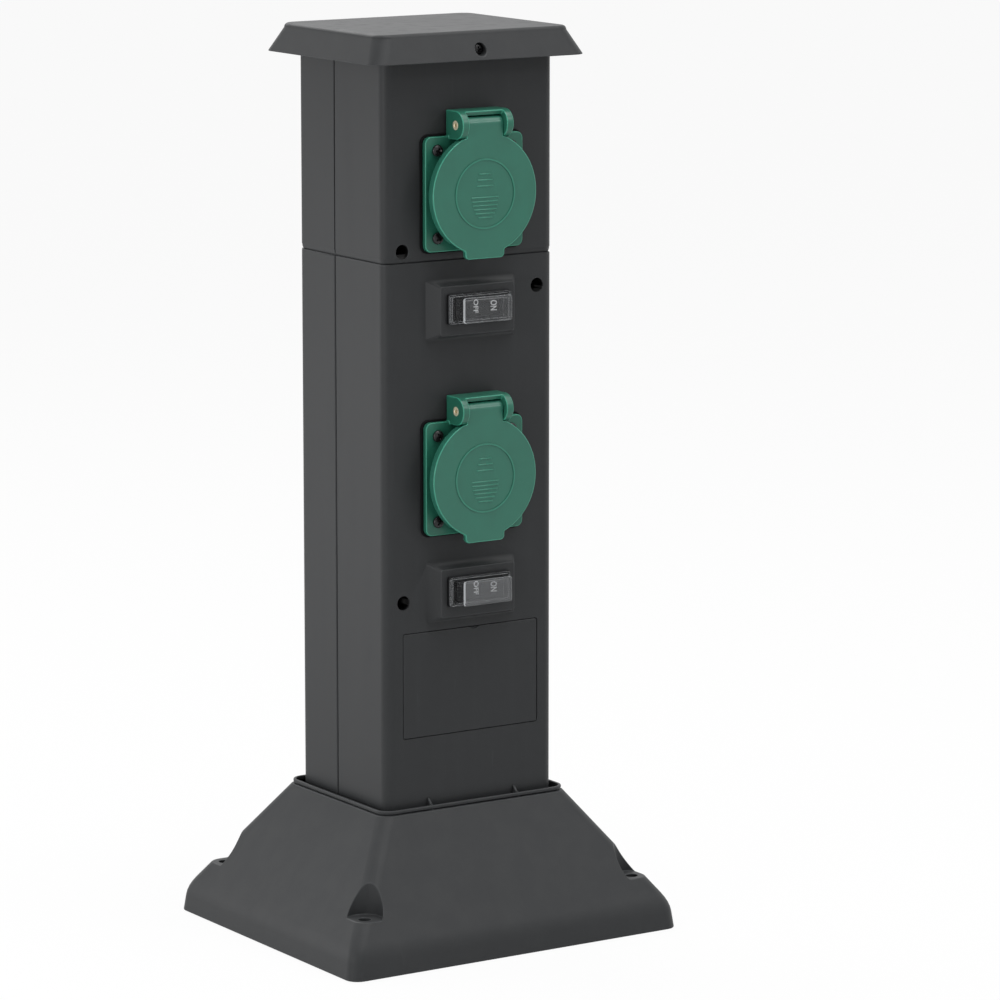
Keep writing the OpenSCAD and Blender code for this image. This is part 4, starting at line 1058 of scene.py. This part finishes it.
@dataclass
class SocketOutlet:
    """A panel socket: flange, well, gasket, hinge, spring, lid and its marks.

    Attributes:
        place: Which of the two sockets it is.
        flange: Side of the square flange.
        rounding: Width of the softened edges.
        rubber_rounding: That of the gasket and the seal.
        clip_rounding: That of the earth clip.
        ring_reach: Radius that the lid's raised ring stays within.
        ring_height: How far the ring stands up from the lid's face.
        mark_highlight: How much paler the tops of the ring and the bars are painted, as a painted highlight.
        mark_radius: Radius of the disc that the lid's bars fill.
        bars: Name, count, pitch, height of the first bar and share of the chord of each group of bars.
        bar_radius: Radius of a raised bar.
        bar_sides: Sides of a raised bar.
        pin_hole: Radius of the hinge pin's hole as a share of the pin's.
        pin_hole_depth: Depth of that hole.
        pin_rim: Radius of the pin's rolled rim as a share of the pin's.
        pin_rim_height: How far the rim stands out at the pin's end.
        spring_wire: Radius of the spring's wire.
        spring_turns: Turns of the spring.
        spring_start: Turn in degrees at which it starts.
        turn_points: Points of its path on each turn.
        wire_sides: Sides of its wire.
    """

    place: Place
    flange: float = 50 * MM
    rounding: float = 0.4 * MM
    rubber_rounding: float = 0.25 * MM
    clip_rounding: float = 0.15 * MM
    ring_reach: float = 17 * MM
    ring_height: float = 0.35 * MM
    mark_highlight: float = 0.38
    mark_radius: float = 12.2 * MM
    bars: tuple[tuple[str, int, float, float, float], ...] = (
        ("lower_bars", 6, 1.75 * MM, -1.6 * MM, 1.15), ("upper_bars", 3, 2.6 * MM, 8.6 * MM, 0.72))
    bar_radius: float = 0.34 * MM
    bar_sides: int = 12
    pin_hole: float = 0.55
    pin_hole_depth: float = 8 * MM
    pin_rim: float = 1.3
    pin_rim_height: float = 0.13 * MM
    spring_wire: float = 0.3 * MM
    spring_turns: float = 7.3
    spring_start: float = 162.0
    turn_points: int = 20
    wire_sides: int = 10

    def build(self) -> None:
        """Dresses every piece of the socket."""
        name = self.place.value
        edges = SoftEdges(self.rounding)
        rubber, clip = SoftEdges(self.rubber_rounding), SoftEdges(self.clip_rounding, 2)
        gasket = SoftEdges(self.rubber_rounding, 2)
        dressed(f"{name}_socket_housing", f"{name}_flange_and_well", "post", "dark_green_plastic", edges)
        fixed(self.lid(edges), f"{name}_lid", "green_plastic", [f"{name}_socket_lid"])
        dressed(f"{name}_flange_gasket", f"{name}_gasket_sheet", "post", "black_rubber", gasket)
        dressed(f"{name}_lid_seal", f"{name}_seal_ring", f"{name}_lid", "black_rubber", rubber)
        fixed(self.pin(), "post", "brass", [f"{name}_hinge_pin"])
        dressed(f"{name}_earth_clip", f"{name}_earth_springs", "post", "brass", clip)
        self.marks()
        self.spring()

    def middle_height(self) -> float:
        """Height of the middle of the lid and its flange."""
        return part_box(f"{self.place.value}_socket_housing")[0].z + self.flange / 2

    def pin(self) -> bpy.types.Object:
        """Turns the hollow hinge pin with the rolled rims that hold it.

        Returns:
            The pin, with no material yet.
        """
        name = self.place.value
        low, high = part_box(f"{name}_hinge_pin")
        radius, end = (high.z - low.z) / 2, (high.x - low.x) / 2
        hole, rim = self.pin_hole * radius, self.pin_rim * radius
        bottom, top, brim, seat = self.pin_hole_depth, -self.pin_rim_height, -0.06 * MM, -0.01 * MM
        half = [(0.0, bottom), (0.9 * hole, bottom), (hole, 0.0), (1.2 * hole, top), (0.9 * rim, top),
                (rim, brim), (rim, seat), (radius, seat)]
        profile = [(r, z - end) for r, z in half] + [(r, end - z) for r, z in reversed(half)]
        mesh = with_sharp(solid_from("pin", turned(profile)), 40.0)
        mesh.transform(Matrix.Translation((low + high) / 2) @ Matrix.Rotation(math.radians(90), 4, "Y"))
        return new_object(f"{name}_pin", mesh)

    def lid(self, edges: SoftEdges) -> bpy.types.Object:
        """Makes the lid, with its low raised ring left crisp and a painted highlight on its top.

        Args:
            edges: The rounding of its other edges.

        Returns:
            The lid, with no material yet.
        """
        name = self.place.value
        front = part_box(f"{name}_socket_lid")[0].y
        middle, slack = self.middle_height(), 0.05 * MM

        def share(_: bmesh.types.BMEdge, point: Vector) -> float:
            """0 on the raised ring and 1 on the rest."""
            away = math.hypot(point.x, point.z - middle)
            return float(point.y >= front + self.ring_height + slack or away >= self.ring_reach)

        piece = edges.copy_of(f"{name}_socket_lid", f"{name}_round_lid", share)
        for face, grade in zip(piece.data.polygons, piece.data.attributes[EDGE_MARK].data):
            # The ring's top faces get the painted highlight
            if face.center.y < front + slack and face.normal.y < -FACING:
                grade.value = self.mark_highlight
        return piece

    def marks(self) -> None:
        """Adds the plain bars within the lid's ring."""
        name = self.place.value
        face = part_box(f"{name}_socket_lid")[0].y + self.ring_height
        flat = self.bar_radius * 0.7
        profile = [(0.0, -0.5), (flat, -0.5), (self.bar_radius, -0.49), (self.bar_radius, 0.49), (flat, 0.5),
                   (0.0, 0.5)]
        mesh = solid_from("bar", turned(profile, self.bar_sides))
        mesh.transform(Matrix.Rotation(math.radians(90), 4, "Y"))
        bar = bpy.data.objects.new("bar", mesh)
        recipe = bar_recipe()
        for label, count, pitch, top, share in self.bars:
            piece = new_object(f"{name}_lid_{label}", bpy.data.meshes.new(label))
            recipe.apply(piece, "green_plastic", Count=count, Pitch=pitch, Disc=self.mark_radius, Share=share,
                         Top=top, Bar=bar)
            piece.data.transform(Matrix.Translation((0.0, face, self.middle_height())))
            # Every face of the bars gets the painted highlight
            mark_faces(piece.data, [self.mark_highlight] * len(piece.data.polygons))
            fixed(piece, f"{name}_lid", "green_plastic")
        bpy.data.objects.remove(bar)

    def spring(self) -> None:
        """Winds the lid's spring round its pin."""
        name = self.place.value
        pin_low, pin_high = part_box(f"{name}_hinge_pin")
        low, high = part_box(f"{name}_lid_spring")
        middle = (pin_low + pin_high) / 2
        radius = (pin_high.z - pin_low.z) / 2 + 1.5 * self.spring_wire
        length = high.x - low.x - 2 * self.spring_wire
        steps = round(self.spring_turns * self.turn_points)
        points = []
        for i in range(steps + 1):
            angle = math.tau * i / self.turn_points + math.radians(self.spring_start)
            points.append(Vector((low.x + self.spring_wire + length * i / steps,
                                  radius * math.cos(angle) + middle.y, radius * math.sin(angle) + middle.z)))
        points.append(Vector((points[-1].x, high.y - self.spring_wire, low.z + self.spring_wire)))
        mesh = bpy.data.meshes.new(f"{name}_spring_path")
        mesh.from_pydata(points, [(i, i + 1) for i in range(len(points) - 1)], [])
        piece = new_object(f"{name}_coil_spring", mesh)
        tube_recipe().apply(piece, "bright_steel", Radius=self.spring_wire, Sides=self.wire_sides)
        fixed(piece, "post", "bright_steel", [f"{name}_lid_spring"])


@dataclass
class SplashSwitch:
    """A rocker switch in its bezel under a clear cover, with its printed words.

    Attributes:
        place: Which of the two switches it is.
        rounding: Width of the softened edges of the bezel.
        rocker_rounding: That of the rocker.
        cover_rounding: That of the clear cover.
        rim_highlight: Painted highlight on the cover's front rim, and on its upright edge next to the
            rocker's low end.
        base_highlight: Painted highlight on its other edges.
        side_highlight: Painted highlight on the side wall of its base.
        front_reflection: Painted reflection on its flat front, for each switch.
        words: Each word with its place along X and the height and length of its lettering.
        word_rise: Height of the words' middle over the rocker's middle.
        word_half: Half the thickness of the letters, whose backs touch the rocker's face.
        word_weight: How much bolder than the plain letters they are.
    """

    place: Place
    rounding: float = 0.3 * MM
    rocker_rounding: float = 0.22 * MM
    cover_rounding: float = 0.34 * MM
    rim_highlight: tuple[float, float] = (0.5, 0.95)
    base_highlight: float = 0.5
    side_highlight: float = 0.4
    front_reflection: dict[Place, float] = field(default_factory=lambda: {Place.UPPER: 0.15, Place.LOWER: 0.27})
    words: tuple[tuple[str, float, float, float], ...] = (
        ("ON", 6.2 * MM, 3.0 * MM, 4.5 * MM), ("OFF", -2.0 * MM, 2.5 * MM, 6.1 * MM))
    word_rise: float = 0.7 * MM
    word_half: float = 0.02 * MM
    word_weight: float = 0.09 * MM

    def build(self) -> None:
        """Dresses every piece of the switch."""
        name = self.place.value
        dressed(f"{name}_switch_body", f"{name}_bezel", "post", "black_plastic", SoftEdges(self.rounding))
        edges = SoftEdges(self.rocker_rounding, angle=30.0)
        rocker = edges.copy_of(f"{name}_rocker", f"{name}_rocker_cap")
        fixed(rocker, f"{name}_switch_rocker", "black_plastic", [f"{name}_rocker"])
        edges = SoftEdges(self.cover_rounding, angle=30.0)
        cover = edges.copy_of(f"{name}_switch_cover", f"{name}_splash_cover")
        self.mark_edges(cover.data)
        fixed(cover, "post", "clear_cover", [f"{name}_switch_cover"])
        for text, aside, height, length in self.words:
            self.word(text, aside, height, length, rocker.data)

    def mark_edges(self, mesh: bpy.types.Mesh) -> None:
        """Grades the cover's painted highlight and painted reflection: most on the front rim, less at its
        base, hardly any on flat faces.

        Args:
            mesh: The cover's mesh.
        """
        rim_share, front_wall, low_end, side_wall = 0.25, 1.5 * MM, 8 * MM, 1 * MM
        depths = [vertex.co.y for vertex in mesh.vertices]
        front, back = min(depths), max(depths)
        left = min(vertex.co.x for vertex in mesh.vertices)
        for face, grade in zip(mesh.polygons, mesh.attributes[EDGE_MARK].data):
            # Painted highlight on rims, base edges and the left side wall; painted reflection on the front
            if grade.value > 0.5:
                on_rim = (face.center.y - front) / (back - front) < rim_share
                upright = face.center.x < left + low_end and abs(face.normal.z) < 0.5
                grade.value = self.rim_highlight[upright] if on_rim else self.base_highlight
            elif abs(face.normal.y) > FACING and face.center.y < front + front_wall:
                grade.value = self.front_reflection[self.place]
            elif face.normal.x < -FACING and face.center.x < left + side_wall:
                grade.value = self.side_highlight

    def word(self, text: str, aside: float, height: float, length: float, rocker: bpy.types.Mesh) -> None:
        """Prints a word on the rocker, its letters turned a quarter clockwise.

        Args:
            text: The word.
            aside: Distance of its middle from the rocker's middle along X.
            height: Height of its letters.
            length: Length of the word.
            rocker: The mesh of the rocker that carries it.
        """
        name = self.place.value
        mesh = self.lettering(text, height, length)
        low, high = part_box(f"{name}_rocker")
        faces = [f for f in rocker.polygons if f.normal.y < -FACING and f.center.x * aside > 0]
        face = max(faces, key=lambda f: f.area)
        front = face.center.y - (aside - face.center.x) * face.normal.x / face.normal.y
        place = (aside, front - self.word_half, (low.z + high.z) / 2 + self.word_rise)
        stand, quarter = (Matrix.Rotation(math.radians(90), 4, axis) for axis in "XY")
        lean = Matrix.Rotation(math.atan2(face.normal.x, -face.normal.y), 4, "Z")
        mesh.transform(Matrix.Translation(place) @ lean @ quarter @ stand)
        piece = new_object(f"{name}_word_{text.lower()}", mesh)
        fixed(piece, f"{name}_switch_rocker", "printed_ink", slot="pale_plastic")

    def lettering(self, text: str, height: float, length: float) -> bpy.types.Mesh:
        """A word as a thin flat mesh on the XY plane, with its middle at the origin.

        Args:
            text: The word.
            height: Height of its letters.
            length: Length of the word.

        Returns:
            The mesh.
        """
        capital = 0.7
        curve = bpy.data.curves.new(text, "FONT")
        curve.body = text
        curve.align_x = "CENTER"
        curve.align_y = "CENTER"
        curve.size = height / capital
        curve.extrude = self.word_half
        curve.offset = self.word_weight
        curve.resolution_u = 4
        writing = new_object(text, curve)
        mesh = evaluated(writing)
        bpy.data.objects.remove(writing)
        across, up = [vertex.co.x for vertex in mesh.vertices], [vertex.co.y for vertex in mesh.vertices]
        left, right, foot, top = min(across), max(across), min(up), max(up)
        mesh.transform(Matrix.Diagonal((length / (right - left), height / (top - foot), 1.0, 1.0))
                       @ Matrix.Translation((-(left + right) / 2, -(foot + top) / 2, 0.0)))
        return mesh


@dataclass
class ScrewSet:
    """Like screws on one CAD node, with pan heads and cross recesses.

    Attributes:
        node: The CAD node that they stand for.
        head_radius: Radius of the head.
        head_height: Height of the head.
        shank_radius: Radius of the shank.
        seed: Seed of the turns of their recesses.
        finish: The finish that they show.
    """

    node: str
    head_radius: float
    head_height: float
    shank_radius: float
    seed: int
    finish: str = "black_steel"

    def build(self, recipe: Recipe) -> None:
        """Sets a screw on the place of each solid of the node.

        Args:
            recipe: The tree that sets screws on points.
        """
        boxes = solid_boxes(self.node)
        points, facing = [], []
        for low, high in boxes:
            middle = (low + high) / 2
            # Only a pair, such as the cap's, has a screw that faces back
            front = middle.y < 0 or len(boxes) > 2
            seat = low.y + self.head_height if front else high.y - self.head_height
            points.append((middle.x, seat, middle.z))
            facing += (0.0, -1.0 if front else 1.0, 0.0)
        screw = self.screw(max(high.y - low.y for low, high in boxes) - self.head_height)
        mesh = bpy.data.meshes.new(f"{self.node}_points")
        mesh.from_pydata(points, [], [])
        mesh.attributes.new("facing", "FLOAT_VECTOR", "POINT").data.foreach_set("vector", facing)
        piece = new_object(f"{self.node}_set", mesh)
        recipe.apply(piece, self.finish, Screw=screw, Seed=self.seed)
        bpy.data.objects.remove(screw)
        fixed(piece, "post", self.finish, [self.node])

    def screw(self, length: float) -> bpy.types.Object:
        """One screw with its head towards +Z and its seat at the origin.

        Args:
            length: Length of its shank.

        Returns:
            The screw.
        """
        r, h, s = self.head_radius, self.head_height, self.shank_radius
        turns = [math.radians(d) for d in range(0, 90, 15)]
        arc = [(r * math.cos(a), h * (0.35 + 0.65 * math.sin(a))) for a in turns]
        profile = [(0.0, -length), (s * 0.4, -length), (s, -length + s), (s, 0.0), (r * 0.96, 0.0),
                   (r, 0.06 * h), *arc, (0.0, h)]
        piece = new_object("screw", solid_from("screw", turned(profile)))
        cutter = new_object("recess", solid_from("recess", self.recess))
        modify(piece, "BOOLEAN", object=cutter, operation="DIFFERENCE", solver="EXACT")
        bpy.data.objects.remove(cutter)
        with_sharp(piece.data)
        return piece

    def recess(self, work: bmesh.types.BMesh) -> None:
        """Fills a mesh with the tapered cross that is cut into the head.

        Args:
            work: The mesh.
        """
        reach, width = self.head_radius * 0.7, self.head_radius * 0.17
        top, depth = self.head_height * 1.2, self.head_height * 0.85
        bottom, taper = top - depth, {reach: 0.45, width: 0.8}
        quarter = [(reach, width), (width, width), (width, reach)]
        outline = []
        for _ in range(4):
            outline += quarter
            quarter = [(-y, x) for x, y in quarter]
        upper = [work.verts.new((x, y, top)) for x, y in outline]
        lower = [work.verts.new((x * taper[abs(x)], y * taper[abs(y)], bottom)) for x, y in outline]
        work.faces.new(upper)
        work.faces.new(list(reversed(lower)))
        for i, corner in enumerate(lower):
            j = (i + 1) % len(outline)
            work.faces.new([corner, lower[j], upper[j], upper[i]])


@dataclass
class Fixings:
    """Every set of screws on the post.

    Attributes:
        sets: The screw sets.
    """

    sets: list[ScrewSet] = field(default_factory=lambda: [
        ScrewSet("flange_screws", 2.6 * MM, 1.7 * MM, 1.3 * MM, 3),
        ScrewSet("shell_screws", 2.5 * MM, 2.0 * MM, 1.45 * MM, 8),
        ScrewSet("cap_screws", 2.4 * MM, 2.0 * MM, 1.45 * MM, 5),
    ])

    def build(self) -> None:
        """Sets all the screws."""
        recipe = screw_recipe()
        for screws in self.sets:
            screws.build(recipe)


@dataclass
class Insides:
    """The pieces inside the column, which keep their CAD shape or get rounder wires.

    Attributes:
        finishes: Finish of each CAD node that stays.
        socket_finishes: Finish of each such node of a socket and its switch, without its place.
        wires: Finish of each wire node.
        wire_flat: Degrees up to which neighbouring triangles of a wire are made one face.
        wire_crisp: Degrees from which a wire's edge is sharp.
    """

    finishes: dict[str, str] = field(default_factory=lambda: {
        "foot_screws": "bright_steel", "terminal_block": "pale_plastic", "terminal_barrels": "brass",
        "terminal_screws": "bright_steel"})
    socket_finishes: dict[str, str] = field(default_factory=lambda: {
        "contact_carrier": "black_plastic", "contact_sleeves": "brass", "switch_terminals": "brass"})
    wires: dict[str, str] = field(default_factory=lambda: {
        "live_wires": "brown_insulation", "neutral_wires": "blue_insulation",
        "earth_wires": "green_insulation"})
    wire_flat: float = 0.05
    wire_crisp: float = 60.0

    def build(self) -> None:
        """Dresses the inside pieces."""
        placed = {f"{place.value}_{node}": finish for place in Place
                  for node, finish in self.socket_finishes.items()}
        for node, finish in {**self.finishes, **placed}.items():
            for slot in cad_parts[node].material_slots:
                slot.material = paint(finish)
            LOG.info("%s keeps its CAD shape in %s", node, finish)
        for node, finish in self.wires.items():
            work = merged(node)
            flat = math.radians(self.wire_flat)
            bmesh.ops.dissolve_limit(work, angle_limit=flat, verts=work.verts, edges=work.edges)
            mesh = with_sharp(plain(work, f"{node}_runs"), self.wire_crisp)
            fixed(new_object(mesh.name, mesh), "post", finish, [node])


def main() -> None:
    """Builds the scene piece by piece."""
    logging.basicConfig(level=logging.INFO, format="%(name)s: %(message)s")
    for part in (Studio(), Foot(), Column(), Cap()):
        part.build()
    for place in Place:
        SocketOutlet(place).build()
        SplashSwitch(place).build()
    Fixings().build()
    Insides().build()


if __name__ == "__main__":
    main()
